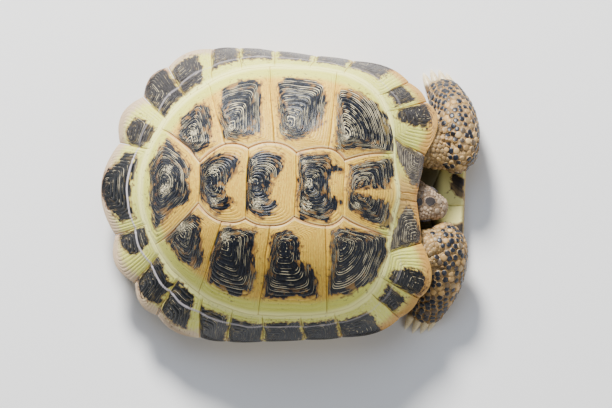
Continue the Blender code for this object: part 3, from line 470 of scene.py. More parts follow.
# The outermost seams are mirrored beyond the front and the tail, so that curves run smoothly there.
MIRROR, FULL_TURN = np.array((-1, 1, 1, -1, 1)), np.array((360, 0, 0, 360, 0))
KNOTS = np.vstack((SEAM_TABLE[0] * MIRROR, SEAM_TABLE, SEAM_TABLE[-1] * MIRROR + FULL_TURN))
RIM_KNOTS, RIM_RADII, RIM_HEIGHTS, ROOT_KNOTS, _ = KNOTS.T
SCALLOPS = np.concatenate((SEAM_TABLE[:, 4], [TAIL_SCALLOP]))


def rim(angle, w=1):
    """Radius and height of the shell's edge below a place on the marginal band.

    The place (w is 0 at the costal seam, 1 at the rim) is followed outwards between its own seams.
    """
    degrees = np.abs(np.degrees(np.arctan2(np.sin(angle), np.cos(angle))))
    w = np.clip(w, 0, 1) * np.ones_like(degrees)
    knots = ROOT_KNOTS + (RIM_KNOTS - ROOT_KNOTS) * w[..., None]
    k = np.clip(np.sum(degrees[..., None] > knots, axis=-1) - 1, 0, len(SCALLOPS) - 1)
    low = np.take_along_axis(knots, k[..., None], -1)[..., 0]
    high = np.take_along_axis(knots, k[..., None] + 1, -1)[..., 0]
    share = np.clip((degrees - low) / (high - low), 0, 1)
    at_rim = RIM_KNOTS[k] + share * (RIM_KNOTS[k + 1] - RIM_KNOTS[k])
    radius = smooth_table(at_rim, RIM_KNOTS, RIM_RADII) + SCALLOPS[k] * np.sin(np.pi * share)
    return radius, smooth_table(at_rim, RIM_KNOTS, RIM_HEIGHTS)


def seam_radius(angle):
    """Plan radius of the seam between costals and marginals: one superellipse before, one behind."""
    cosine, sine = np.cos(angle), np.abs(np.sin(angle))
    reach = np.where(cosine > 0, SEAM_FRONT, SEAM_REAR)
    power = np.where(cosine > 0, SEAM_POWER_FRONT, SEAM_POWER_REAR)
    total = (np.abs(cosine) / reach) ** power + (sine / SEAM_HALF_WIDTH) ** power
    wrapped = np.arctan2(np.sin(angle), cosine)
    return total ** (-1 / power) + NUCHAL_BULGE * np.exp(-((wrapped / 0.16) ** 2))


def seam_distance(chart):
    """Map distance outwards from the costal seam, negative on the dome."""
    angle = np.arctan2(chart[..., 1], chart[..., 0])
    return np.hypot(chart[..., 0], chart[..., 1]) - seam_radius(angle)


def carapace(chart):
    """Points on the carapace: a power-law dome to the costal seam, then a bent band to the rim."""
    angle = np.arctan2(chart[..., 1], chart[..., 0])
    radius = np.hypot(chart[..., 0], chart[..., 1])
    seam = seam_radius(angle)
    seam_z = SEAM_HEIGHT + SEAM_PITCH * np.cos(angle)
    inner = np.clip(radius / seam, 0, 1)
    dome_z = DOME_TOP - (DOME_TOP - seam_z) * inner**DOME_POWER
    w = (radius - seam) / MARGINAL_BAND
    edge_r, edge_z = rim(angle, w)
    bulge = 0.45 + 0.3 * np.sin(angle) ** 4
    mid_r = seam + bulge * (edge_r - seam)
    mid_z = seam_z - (1 - bulge) * (seam_z - edge_z)
    band_r = (1 - w) ** 2 * seam + 2 * w * (1 - w) * mid_r + w * w * edge_r
    band_z = (1 - w) ** 2 * seam_z + 2 * w * (1 - w) * mid_z + w * w * edge_z
    outside = radius > seam
    r, z = np.where(outside, band_r, radius), np.where(outside, band_z, dome_z)
    return np.stack((r * np.cos(angle), r * np.sin(angle), z), axis=-1)


def carapace_depth(chart):
    """Thickness of the shell: thin at the rim, thick where the marginals carry the skin."""
    w = seam_distance(chart) / MARGINAL_BAND
    share = np.clip((1 - w) / 0.5, 0, 1)
    wedge = RIM_THICKNESS + (MARGINAL_THICKNESS - RIM_THICKNESS) * share
    return np.where(w > 0, wedge, PLATE_THICKNESS)


def bridge_edge(x):
    """Half-width and height of the carapace's lower edge at a station along the bridge."""
    angles = np.radians(np.linspace(40, 130, 91))
    radius, height = rim(angles)
    order = np.argsort(radius * np.cos(angles))
    stations = (radius * np.cos(angles))[order]
    across = (radius * np.sin(angles))[order]
    return np.interp(x, stations, across) - 1.2, np.interp(x, stations, height[order]) - 1


def plastron(chart):
    """Points on the underside: flat on the ground, turned up at the lip, the heel and the bridge."""
    x, across = chart[..., 0], chart[..., 1]
    side, out = np.sign(across), np.abs(across)
    edge_y, edge_z = bridge_edge(x)
    w = np.clip((out - PLASTRON_FLAT) / BRIDGE_BAND, 0, None)
    y = (1 - w) ** 2 * PLASTRON_FLAT + 2 * w * (1 - w) * BRIDGE_TURN + w * w * edge_y
    y = np.where(out < PLASTRON_FLAT, out, y)
    lip = np.clip((x - LIP_START) / (LIP_END - LIP_START), 0, None)
    heel = np.clip((x - HEEL_START) / (HEEL_END - HEEL_START), 0, None)
    z = LIP_RISE * lip**2 + HEEL_RISE * heel**2 + w * w * edge_z
    return np.stack((x, side * y, z), axis=-1)


def normals(surface, chart, step=0.05):
    """Unit normals of a mapped surface, from its slopes along the two directions of the map."""
    along, across = np.array((step, 0)), np.array((0, step))
    a = surface(chart + along) - surface(chart - along)
    b = surface(chart + across) - surface(chart - across)
    return unit(np.cross(a, b))


def settled(chart):
    """The map shifted a little by smooth noise, so that seams run as grown and not as ruled."""
    x, y = chart[..., 0] / 7, chart[..., 1] / 7
    calm = 0.5 * (1 - ramp(seam_distance(chart), 8, 20))
    shift = np.stack((drift(x, y, 3) - 0.5, drift(x, y, 4) - 0.5), axis=-1)
    return chart + shift * calm[..., None] * 2


# ======== Meshes ========


def closed_rings(rings, first, last, turn_over=False):
    """Points and faces of a skin over a stack of equal rings, closed by a point at either end.

    Faces turn outwards where the rings go round anticlockwise, seen from the first point, or where
    they go round clockwise and the faces are turned over.
    """
    rows, count = rings.shape[:2]
    points = np.vstack((first[None], rings.reshape(-1, 3), last[None]))
    number = 1 + np.arange(rows * count).reshape(rows, count)
    ahead = np.roll(number, -1, axis=1)
    quads = np.stack((number[:-1], number[1:], ahead[1:], ahead[:-1]), axis=-1).reshape(-1, 4)
    start = np.stack((np.zeros(count, int), number[0], ahead[0]), axis=-1)
    end = np.stack((number[-1], np.full(count, rows * count + 1), ahead[-1]), axis=-1)
    triangles = np.vstack((start, end))
    if turn_over:
        quads, triangles = quads[:, ::-1], triangles[:, ::-1]
    return points, quads, triangles


def as_mesh(name, points, quads, triangles):
    """A smooth mesh from points, four-sided faces and three-sided faces."""
    mesh = bpy.data.meshes.new(name)
    mesh.vertices.add(len(points))
    mesh.vertices.foreach_set("co", np.ravel(points).astype(np.float32))
    corners = np.concatenate((np.ravel(quads), np.ravel(triangles))).astype(np.int32)
    mesh.loops.add(len(corners))
    mesh.loops.foreach_set("vertex_index", corners)
    fours, threes = len(quads), len(triangles)
    starts = np.concatenate((np.arange(fours) * 4, fours * 4 + np.arange(threes) * 3)).astype(np.int32)
    mesh.polygons.add(len(starts))
    mesh.polygons.foreach_set("loop_start", starts)
    mesh.polygons.foreach_set("use_smooth", np.ones(len(starts), bool))
    mesh.update(calc_edges=True)
    mesh.validate()
    return mesh


def read(items, label, columns, kind=np.float32):
    """A property of a mesh's points or corners, as an array."""
    found = np.zeros(len(items) * columns, kind)
    items.foreach_get(label, found)
    return found.reshape(-1, columns)


def placed(name, data):
    """A new object in the scene."""
    made = bpy.data.objects.new(name, data)
    bpy.context.scene.collection.objects.link(made)
    return made


def add_piece(name, points, quads, triangles, finish, node_names=(), slot=None, **facts):
    """A smooth mesh from points in millimetres of the shell's frame, riding on the root body.

    Facts are stored on its points under their own names: one number or three for each point.
    """
    mesh = as_mesh(name, (points + SHIFT) * MM, quads, triangles)
    for label, values in facts.items():
        values = np.asarray(values, np.float32)
        kind, key = ("FLOAT", "value") if values.ndim == 1 else ("FLOAT_VECTOR", "vector")
        mesh.attributes.new(label, kind, "POINT").data.foreach_set(key, values.ravel())
    mesh.materials.append(finish)
    made = placed(name, mesh)
    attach(made, "root")
    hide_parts(*node_names)
    return made


# ======== Scutes ========


def seam_point(degrees):
    """The map point on the costal seam at an angle."""
    angle = math.radians(degrees)
    return seam_radius(angle) * compass(angle)


def seam_arc(first, last):
    """Map points along the costal seam between two angles, leaving out the last."""
    angle = np.radians(np.linspace(first, last, 24, endpoint=False))
    return seam_radius(angle)[:, None] * compass(angle)


def spread(border, count):
    """Evenly spaced points round a closed outline, anticlockwise seen from above."""
    border = np.asarray(border, float)
    x, y = border.T
    if np.sum(x * np.roll(y, -1) - np.roll(x, -1) * y) < 0:
        border = border[::-1]
    closed = np.vstack((border, border[:1]))
    reached = distances(closed)
    at = np.linspace(0, reached[-1], count, endpoint=False)
    return np.stack([np.interp(at, reached, closed[:, k]) for k in (0, 1)], axis=1)


def ring_rows(rings, seed):
    """Rows from the areola outwards, as shares of the way, with each one's growth ring number.

    The areola takes the first part. Each ring has a groove at its start and is narrower than the
    ring before, give or take a fifth, as a tortoise grows less each year.
    """
    order = np.arange(rings)
    widths = (1.25 - 0.5 * order / rings) * (0.8 + 0.4 * scatter(order, seed, 5))
    marks = np.concatenate(([0], 2.2 + np.concatenate(([0], np.cumsum(widths)))))
    marks /= marks[-1]
    within = np.array((0, 0.12, 0.3, 0.5, 0.7, 0.88))
    number = (1 + order[:, None] + within).ravel()
    number = np.concatenate((np.linspace(0, 1, 9)[1:-1], number, [rings + 1]))
    return np.interp(number, np.arange(rings + 2), marks), number


def scute(name, centre, border, chart_of, look, blotches, seed, turn_over=False):
    """One scute, grown outwards from its areola in rings.

    Its outlines run from rounded ones at the areola to the scute's own border. Each point is lifted
    off the shell's surface by a low tent, a bulge for each ring and a round-over at the border.
    Below the border come a wall and the inner face.
    """
    shell = bpy.context.scene.tortoise_shell
    surface, out, columns = look["surface"], look["out"], look["columns"]
    rings, edge = look["rings"], shell.edge_round / MM
    border = spread(border, columns)
    centre = np.array(centre, float)
    reach = np.minimum(np.arange(columns), columns - np.arange(columns)) / columns
    blur = np.exp(-((reach * 17) ** 2))
    waves = np.fft.fft(border, axis=0) * np.fft.fft(blur / blur.sum())[:, None]
    rounded = np.fft.ifft(waves, axis=0).real

    def plane(share):
        share = share[..., None]
        grown = share**4
        return centre + share * ((1 - grown) * 0.93 * (rounded - centre) + grown * (border - centre))

    gauge = surface(chart_of(plane(np.linspace(0, 1, 13)[:, None] * np.ones(columns))))
    length = norm(np.diff(gauge, axis=0), axis=-1).sum(axis=0)
    share, number = ring_rows(rings, seed)
    body = share[:, None] * (1 - (edge * 1.25 + SEAM_INSET) / length)
    steps = np.array((1, 0.72, 0.5, 0.3, 0.14, 0.04, 0)) * edge
    margin = 1 - (steps[:, None] + SEAM_INSET) / length
    inner_face = np.array(look["under"])[:, None] * (1 - 0.6 / length)
    walls = np.vstack((margin[-1:], margin[-1:]))
    rows = np.vstack((body, margin, walls, inner_face))
    tops = len(body) + len(margin)
    zeros = np.zeros_like(rows)
    rest = np.ones(len(rows) - len(share))
    pace = np.concatenate((np.gradient(share, number), rest * (share[-1] - share[-4])))
    number = np.concatenate((number, rest * (rings + 0.98)))[:, None] + zeros

    place = plane(rows)
    chart = chart_of(place)
    seam = seam_distance(chart) if surface is carapace else np.full(rows.shape, 50.0)
    to_border = (1 - rows) * length
    turn = np.linspace(0, 1, columns, endpoint=False)[None, :] + zeros
    ring = np.minimum(np.floor(number), rings)
    within = np.clip(number - ring, 0, 1)
    bulge = np.where(number < 1, 0.5, np.sin(np.pi * within) ** 0.6)
    strength = 0.65 + 0.7 * drift(turn * 14, ring, seed + 7, wrap=14)
    spacing = length * np.abs(pace)[:, None]
    relief = np.minimum(0.14 * spacing, shell.ring_relief / MM) * strength * (bulge - 0.5)
    worn = zeros.copy()
    for x, y, radius in look["worn"]:
        away = np.hypot(place[..., 0] - x, place[..., 1] - y)
        worn = np.maximum(worn, ramp(away, radius + 1, radius * 0.3))
    # The pale band along the costal seam turns tan on either side of the nuchal.
    warm = 0.9 * np.exp(-((chart[..., 1] / 12) ** 4)) * ramp(chart[..., 0], 30, 48)
    band = 0.94 * ramp(seam, -8.5, -4.5) * (1 - warm)
    pits = drift(*np.moveaxis(chart * 1.6, -1, 0), seed) - 0.5
    pits = pits * 0.22 * np.maximum(number < 1.3, worn)
    swell = np.exp(-((seam / 1.6) ** 2))
    fall = np.clip(1 - to_border / edge, 0, 1)
    lift = look["rise"] * (1 - rows**2) + relief + pits - look["sink"] + 0.3 * swell
    if look["line"]:
        lift += 0.3 * look["line"] * np.exp(-(((place[..., 1] - RIM_LINE) * MARGINAL_BAND / 0.6) ** 2))
    lift -= edge * (1 - np.sqrt(1 - fall * fall)) * (1 - 0.6 * swell)
    thick = look["depth"](chart)
    lift[tops] = -0.5 * thick[tops] - 0.4
    lift[tops + 1] = 0.35 - thick[tops + 1]
    lift[tops + 2 :] = -thick[tops + 2 :]
    points = surface(chart) + out * normals(surface, chart) * lift[..., None]
    pole = chart_of(centre[None])
    top, bottom = (surface(pole) + out * normals(surface, pole) * h for h in (
        look["rise"] - look["sink"], -look["depth"](pole)[0]))
    points, quads, triangles = closed_rings(points, top[0], bottom[0], turn_over)

    dark = np.full(rows.shape, -30.0)
    size = np.array(look["size"])
    for corners in blotches:
        dark = np.maximum(dark, inside_distance(place * size, np.array(corners) * size))
    # The dark steps in and out by about a millimetre from ring to ring.
    dark += 1.7 * (drift(turn * 30, ring, seed + 11, wrap=30) - 0.5) * ramp(number, 0.9, 2.5)
    dark += 1.3 * (drift(turn * 74, ring, seed + 13, wrap=74) - 0.5) * ramp(number, 0.9, 2.5)
    beneath = np.clip(np.arange(len(rows)) - tops + 0.5, 0, 1)[:, None] + zeros
    if "inner" in look:
        lip = inside_distance(place * size, np.array(look["inner"]) * size)
        dark = np.where(beneath > 0, lip + 2 * (drift(turn * 24, rows * 6, seed, wrap=24) - 0.5), dark)
    angle = turn * 2 * np.pi
    growth = np.concatenate((length.mean() * compass(angle), (number * 6 + seed * 7.3)[..., None]), axis=-1)
    tone = drift(turn * 26, ring, seed + 23, wrap=26) + 0.5 * scatter(ring, seed, 31) - 0.25
    spine = np.abs(inside_distance(chart, look["spine"])) if "spine" in look else to_border + 9
    facts = {
        "blotch": dark, "margin": to_border, "seam": seam, "ring": number, "growth": growth,
        "worn": worn, "band": band, "spine": spine, "under": beneath, "rimward": place[..., 1],
        "tone": tone + look["lit"], "line": look["line"] + zeros, "faded": look["faded"] + zeros,
    }
    for label, values in facts.items():
        values = values.reshape(rows.size, -1)
        values = np.vstack((values[:1], values, values[-1:]))
        facts[label] = values if values.shape[1] == 3 else values[:, 0]
    add_piece(f"scute_{name}", points, quads, triangles, look["finish"], (name,), look["slot"], **facts)


def straight(start, end, count=16):
    """Points from start towards end, leaving out the end."""
    start, end = np.array(start, float), np.array(end, float)
    return start + (end - start) * (np.arange(count) / count)[:, None]


def bowed(start, end, count=16):
    """Points from start towards end on a shallow arc bowed away from the spine, leaving out the end."""
    start, end = np.array(start, float), np.array(end, float)
    share = (np.arange(count) / count)[:, None]
    away = np.array((end[1] - start[1], start[0] - end[0])) / norm(end - start)
    away *= np.sign(away[1]) * np.sign(start[1] + end[1])
    return start + (end - start) * share + away * SEAM_BOW * 4 * share * (1 - share)


def dome_borders():
    """The border of every dome scute on the map, by name, and the outline of the vertebral row."""
    corner, apex, end = VERTEBRAL_CORNERS, VERTEBRAL_APEXES, COSTAL_SEAM_ENDS
    halves = (
        (corner["v12"], seam_point(end["v1"])),
        (corner["v23"], apex["c12"], corner["v12"]),
        (corner["v34"], apex["c23"], corner["v23"]),
        (corner["v45"], apex["c34"], corner["v34"]),
        (seam_point(end["v5"]), corner["v45"]),
    )
    borders, spine = {}, []
    for number, half in enumerate(halves, 1):
        across = [(x, -y) for x, y in half[::-1]]
        left = [bowed(p, q) for p, q in zip(half, half[1:])]
        right = [bowed(p, q) for p, q in zip(across, across[1:])]
        front = [straight(half[-1], across[0])]
        rear = [straight(across[-1], half[0])]
        if number == 1:
            front = [seam_arc(end["v1"], -end["v1"])]
        if number == 5:
            rear = [seam_arc(-end["v5"], end["v5"] - 360)]
        borders[f"vertebral_{number}"] = np.vstack(left + front + right + rear)
        spine = left + spine
    spine = np.vstack(spine + [[seam_point(end["v1"])]])
    spine = np.vstack((spine, spine[::-1] * (1, -1)))
    costals = (
        (("v1", "c12"), (seam_point(end["v1"]), corner["v12"], apex["c12"])),
        (("c12", "c23"), (apex["c12"], corner["v23"], apex["c23"])),
        (("c23", "c34"), (apex["c23"], corner["v34"], apex["c34"])),
        (("c34", "v5"), (apex["c34"], corner["v45"], seam_point(end["v5"]))),
    )
    for number, ((first, last), inner) in enumerate(costals, 1):
        sides = [bowed(p, q) for p, q in zip(inner, inner[1:])]
        if last != "v5":
            sides.append(straight(inner[-1], seam_point(end[last])))
        sides.append(seam_arc(end[last], end[first]))
        if first != "v1":
            sides.append(straight(seam_point(end[first]), inner[0]))
        border = np.vstack(sides)
        borders[f"costal_left_{number}"] = border
        borders[f"costal_right_{number}"] = border * (1, -1)
    return borders, spine


SQUARE = ((0, 0), (1, 0), (1, 1), (0, 1), (0, 0))
SQUARE_BORDER = np.vstack([straight(p, q) for p, q in zip(SQUARE, SQUARE[1:])])


def rim_chart(first, last, side):
    """Map points for shares of a marginal: from its front seam to its rear, then costal seam to rim."""

    def chart_of(shares):
        s, t = shares[..., 0], shares[..., 1]
        root = first[3] + (last[3] - first[3]) * s
        edge = first[0] + (last[0] - first[0]) * s
        angle = np.radians(root + (edge - root) * t) * side
        radius = seam_radius(angle) + MARGINAL_BAND * t
        return settled(radius[..., None] * compass(angle))

    return chart_of


def on_line(corners, share, bow=0):
    """Points at shares of a broken line, bowed out to the right of its direction."""
    corners = np.array(corners, float)
    reached = distances(corners)
    points = np.stack([np.interp(share * reached[-1], reached, corners[:, k]) for k in (0, 1)], axis=-1)
    dx, dy = (corners[-1] - corners[0]) / norm(corners[-1] - corners[0])
    return points + (bow * np.sin(np.pi * share))[..., None] * np.array((dy, -dx))


def belly_chart(front, rear, bow, side):
    """Map points for shares of a plastral scute: front to rear, then midline to outer side."""

    def chart_of(shares):
        u, v = shares[..., 0], shares[..., 1]
        ahead, behind = on_line(front, v), on_line(rear, v)
        outer = on_line((front[-1], rear[-1]), u, bow)
        middle = on_line((front[0], rear[0]), u)
        u, v = u[..., None], v[..., None]
        corner = (1 - u) * ((1 - v) * np.array(front[0]) + v * np.array(front[-1]))
        corner = corner + u * ((1 - v) * np.array(rear[0]) + v * np.array(rear[-1]))
        chart = (1 - v) * middle + v * outer + (1 - u) * ahead + u * behind - corner
        return chart * (1, side)

    return chart_of


# ======== Skin ========


def mirrored(points, side, shift=(0, 0, 0)):
    """Stations or claw places for one side, the shift taken in the left side's own sense."""
    if isinstance(points[0][0], tuple):
        return [(np.add(centre, shift) * (1, side, 1), widths) for centre, widths in points]
    return [np.add(centre, shift) * (1, side, 1) for centre in points]


def arm_stations(side):
    """Upper arm and forearm. The right arm is drawn in more, and its elbow goes with it."""
    shift = np.array(RIGHT_ARM_SHIFT if side < 0 else (0, 0, 0), float)
    upper = []
    for k, station in enumerate(UPPER_ARM):
        share = max(0, k - 1) / (len(UPPER_ARM) - 2)
        upper += mirrored([station], side, shift * share)
    return upper, mirrored(FOREARM, side, shift)


def limbs():
    """The stations of every limb, by name."""
    found = {"neck": NECK, "tail": TAIL}
    for side, word in SIDES:
        found[f"upper_arm_{word}"], found[f"forearm_{word}"] = arm_stations(side)
        found[f"thigh_{word}"] = mirrored(THIGH, side)
        found[f"shank_{word}"] = mirrored(SHANK, side)
    return found


def on_stations(stations, at):
    """Centre and half-widths at places on a limb's smooth line, which count stations from 0."""
    table = np.array([(*centre, *widths) for centre, widths in stations], float)
    knots = np.arange(len(table), dtype=float)
    at = np.clip(at, 0, knots[-1])
    return np.stack([smooth_table(at, knots, column) for column in table.T], axis=-1)


def limb_surface(stations, at, turn, grow=0):
    """Points on a limb: an oval with the stations' half-widths, carried along their smooth line.

    turn is the angle round the limb, from its side, upwards.
    """
    at = np.clip(at, 0, len(stations) - 1)
    here = on_stations(stations, at)
    ahead = unit((on_stations(stations, at + 0.05) - on_stations(stations, at - 0.05))[..., :3])
    across, up = level(ahead)
    wide, high = here[..., 3] + grow, here[..., 4] + grow
    oval = across * (wide * np.cos(turn))[..., None] + up * (high * np.sin(turn))[..., None]
    return here[..., :3] + oval, ahead


def limb_mesh(stations, grow):
    """A closed limb: rings along its line and a rounded cap at each end."""
    turn = circle(48)
    at = np.linspace(0, len(stations) - 1, len(stations) * 6)[:, None] + 0 * turn
    body, ahead = limb_surface(stations, at, turn + 0 * at, grow)
    ends = []
    for row, sign in ((0, -1), (-1, 1)):
        middle = body[row].mean(axis=0)
        cap = 0.6 * min(stations[row][1]) + grow
        angle = np.radians((75, 55, 35, 15))[:, None, None]
        dome = middle + (body[row] - middle) * np.sin(angle) + sign * ahead[row, 0] * cap * np.cos(angle)
        ends.append((dome[::-1] if sign < 0 else dome, middle + sign * ahead[row, 0] * cap))
    rings = np.vstack((ends[0][0], body, ends[1][0]))
    return closed_rings(rings, ends[0][1], ends[1][1])


def trunk_mesh(grow):
    """The body inside the shell: under the dome, then a wall that bows in at the openings."""
    angle = circle(144)
    away = compass(angle)
    seam = seam_radius(angle)
    sideways, forward = np.sin(angle) ** 2, np.cos(angle)

    def under_shell(radius, depth):
        chart = away * radius[:, None]
        return carapace(chart) - normals(carapace, chart) * (depth + CLEARANCE - grow)

    rings = [under_shell(seam * s, PLATE_THICKNESS) for s in (0.1, 0.3, 0.5, 0.7, 0.85)]
    rings += [under_shell(seam * s, MARGINAL_THICKNESS) for s in (0.93, 0.995)]
    reach = TRUNK_REACH_ENDS + (TRUNK_REACH_SIDES - TRUNK_REACH_ENDS) * sideways
    rings += [under_shell(seam + MARGINAL_BAND * reach * s, MARGINAL_THICKNESS) for s in (0.5, 1)]
    top = rings[-1]
    foot_r = TRUNK_FOOT + TRUNK_FOOT_FRONT * np.clip(forward, 0, 1) ** 2
    foot_r += TRUNK_FOOT_REAR * np.clip(-forward, 0, 1)
    foot_z = PLASTRON_THICKNESS + CLEARANCE + FOOT_LIFT_SIDES * sideways - grow
    foot = np.column_stack((away * (foot_r + grow)[:, None], foot_z))
    bow = TRUNK_BOW_SIDES * sideways + TRUNK_BOW_ENDS * forward**4
    for v in (0.15, 0.3, 0.5, 0.7, 0.85):
        wall = top + (foot - top) * v
        wall[:, :2] += away * ((bow + grow) * math.sin(math.pi * v))[:, None]
        rings.append(wall)
    rings.append(foot)
    rings.append(np.column_stack((away * 20, np.full(len(angle), PLASTRON_THICKNESS + CLEARANCE - grow))))
    first = np.array((0, 0, rings[0][:, 2].max()))
    return closed_rings(np.array(rings), first, rings[-1].mean(axis=0))


def stacked(parts):
    """Several (points, quads, triangles) as one."""
    starts = np.cumsum([0, *(len(points) for points, _, _ in parts)])
    faces = (np.vstack([part[k] + start for part, start in zip(parts, starts)]) for k in (1, 2))
    return np.vstack([points for points, _, _ in parts]), *faces


def under_carapace(points, clearance):
    """Points brought down below the inner face of the carapace, where they are under it.

    The inner face is taken along rays from the middle: for each degree, height against radius.
    """
    degrees = np.degrees(np.arctan2(points[:, 1], points[:, 0])) % 360
    radius = np.hypot(points[:, 0], points[:, 1])
    ray = np.floor(degrees).astype(int)
    angle = np.radians(np.arange(360) + 0.5)
    away = compass(angle)
    seam = seam_radius(angle)
    shares = np.concatenate((np.linspace(0.02, 0.99, 14), 1 + np.linspace(0.01, 1, 30)))
    reach = np.where(shares < 1, seam[:, None] * shares, seam[:, None] + MARGINAL_BAND * (shares - 1))
    chart = away[:, None] * reach[..., None]
    inner = carapace(chart) - normals(carapace, chart) * (carapace_depth(chart) + clearance)[..., None]
    inner_radius, inner_height = np.hypot(inner[..., 0], inner[..., 1]), inner[..., 2]
    limit = np.full(len(points), 1e3)
    for k in np.unique(ray):
        here = ray == k
        order = np.argsort(inner_radius[k])
        limit[here] = np.interp(radius[here], inner_radius[k][order], inner_height[k][order], right=1e3)
    points = points.copy()
    points[:, 2] = np.minimum(points[:, 2], limit)
    return points


def over_plastron(points, clearance):
    """Points brought up above the inner face of the plastron, where they are over it."""
    outline = ((98, -1), LIP_EDGE[1], GULAR_SEAM[1], *BRIDGE_FRONT[1:], *BRIDGE_REAR[:0:-1],
               FEMORAL_SEAM[1], *ANAL_NOTCH[:0:-1], (-56, -1))
    place = np.stack((points[:, 0], np.abs(points[:, 1])), axis=-1)
    inside = (inside_distance(place, outline) > -0.6) & (place[:, 1] < PLASTRON_FLAT)
    floor = plastron(place)[:, 2] + PLASTRON_THICKNESS + clearance
    points = points.copy()
    points[:, 2] = np.where(inside, np.maximum(points[:, 2], floor), points[:, 2])
    return points


def crease_distance(points):
    """Distance seen from above to the nearest crease, for points on the limbs' upper side."""
    nearest = np.where(points[:, 2] > 18, 99, 199)
    for start, end in CREASES:
        start, side = np.array(start), np.subtract(end, start)
        share = np.clip((points[:, :2] - start) @ side / (side @ side), 0, 1)
        bend = 0.7 * np.sin(share * 5)[:, None] * np.array((-side[1], side[0])) / norm(side)
        gap = norm(points[:, :2] - start - share[:, None] * side - bend, axis=-1)
        nearest = np.where(points[:, 2] > 18, np.minimum(nearest, gap), nearest)
    return nearest


def folds(points):
    """How far the skin stands out in folds: rolls round the neck and the roots of the limbs, and creases."""
    lift = np.zeros(len(points))
    weight = np.zeros(len(points))
    for name, stations in limbs().items():
        here = on_stations(stations, np.linspace(0, len(stations) - 1, 24))
        line, wide = here[:, :3], here[:, 3]
        gap = norm(points[:, None] - line, axis=-1) / wide
        nearest = np.argmin(gap, axis=1)
        ahead = unit(np.gradient(line, axis=0))
        along = distances(line)[nearest] + np.sum((points - line[nearest]) * ahead[nearest], axis=1)
        close = ramp(gap.min(axis=1), 1.35, 1.05)
        pitch, height, root = FOLDS[name.split("_")[0]]
        wander = drift(points[:, 0] / 6, points[:, 1] / 6 + points[:, 2] / 7, 31)
        wave = np.abs(np.sin(np.pi * (along / pitch + 1.6 * wander))) ** 0.7 - 0.6
        lift += height * wave * close * ramp(along, root + 3, root - 3)
        weight += close
    away = crease_distance(points)
    return lift / np.maximum(weight, 1) - CREASE_DEPTH * np.exp(-((away / CREASE_WIDTH) ** 2))


def head_axes():
    """The head's directions: ahead, across to its left, and up."""
    yaw, pitch = math.radians(HEAD_YAW), math.radians(HEAD_PITCH)
    ahead = np.array((math.cos(pitch) * math.cos(yaw), math.cos(pitch) * math.sin(yaw), math.sin(pitch)))
    return ahead, *level(ahead)


def head_place(distance, turn, grow=0):
    """A place on the bare head as (along, across, up): flat-topped ovals with brows and cheeks."""
    table = np.array(HEAD_STATIONS)
    inside = np.clip(distance, 0, HEAD_LENGTH)
    wide, above, below = (smooth_table(inside, table[:, 0], table[:, c]) for c in (1, 2, 3))
    wide, above, below = (v * (1 - 0.18 * ramp(-distance, 0, 6)) for v in (wide, above, below))
    degrees = np.degrees(np.arcsin(np.clip(np.sin(turn), -1, 1)))
    extra = sum(rise * np.exp(-(((distance - place[0]) / 4) ** 2) - ((degrees - place[1]) / 26) ** 2)
                for rise, place in ((BROW_RISE, BROW_AT), (CHEEK_RISE, CHEEK_AT)))

    def boxy(value):
        return np.sign(value) * np.abs(value) ** HEAD_BOXINESS

    high = np.where(np.sin(turn) > 0, above, below) + grow + extra
    across = (wide + grow + extra) * boxy(np.cos(turn))
    return np.stack((distance + 0 * turn, across, high * boxy(np.sin(turn))), axis=-1)


def eye_shares(place):
    """How far out from the middle of the nearer eye's opening a head place lies; 1 is the lid's edge."""
    along, out, above = EYE_AT
    a = (place[..., 0] - along) / EYE_OPENING[0]
    b = (place[..., 2] - above - 0.1 * (place[..., 0] - along)) / EYE_OPENING[1]
    near = np.abs(place[..., 1]) > 3
    return np.where(near, np.hypot(a, b), 9)


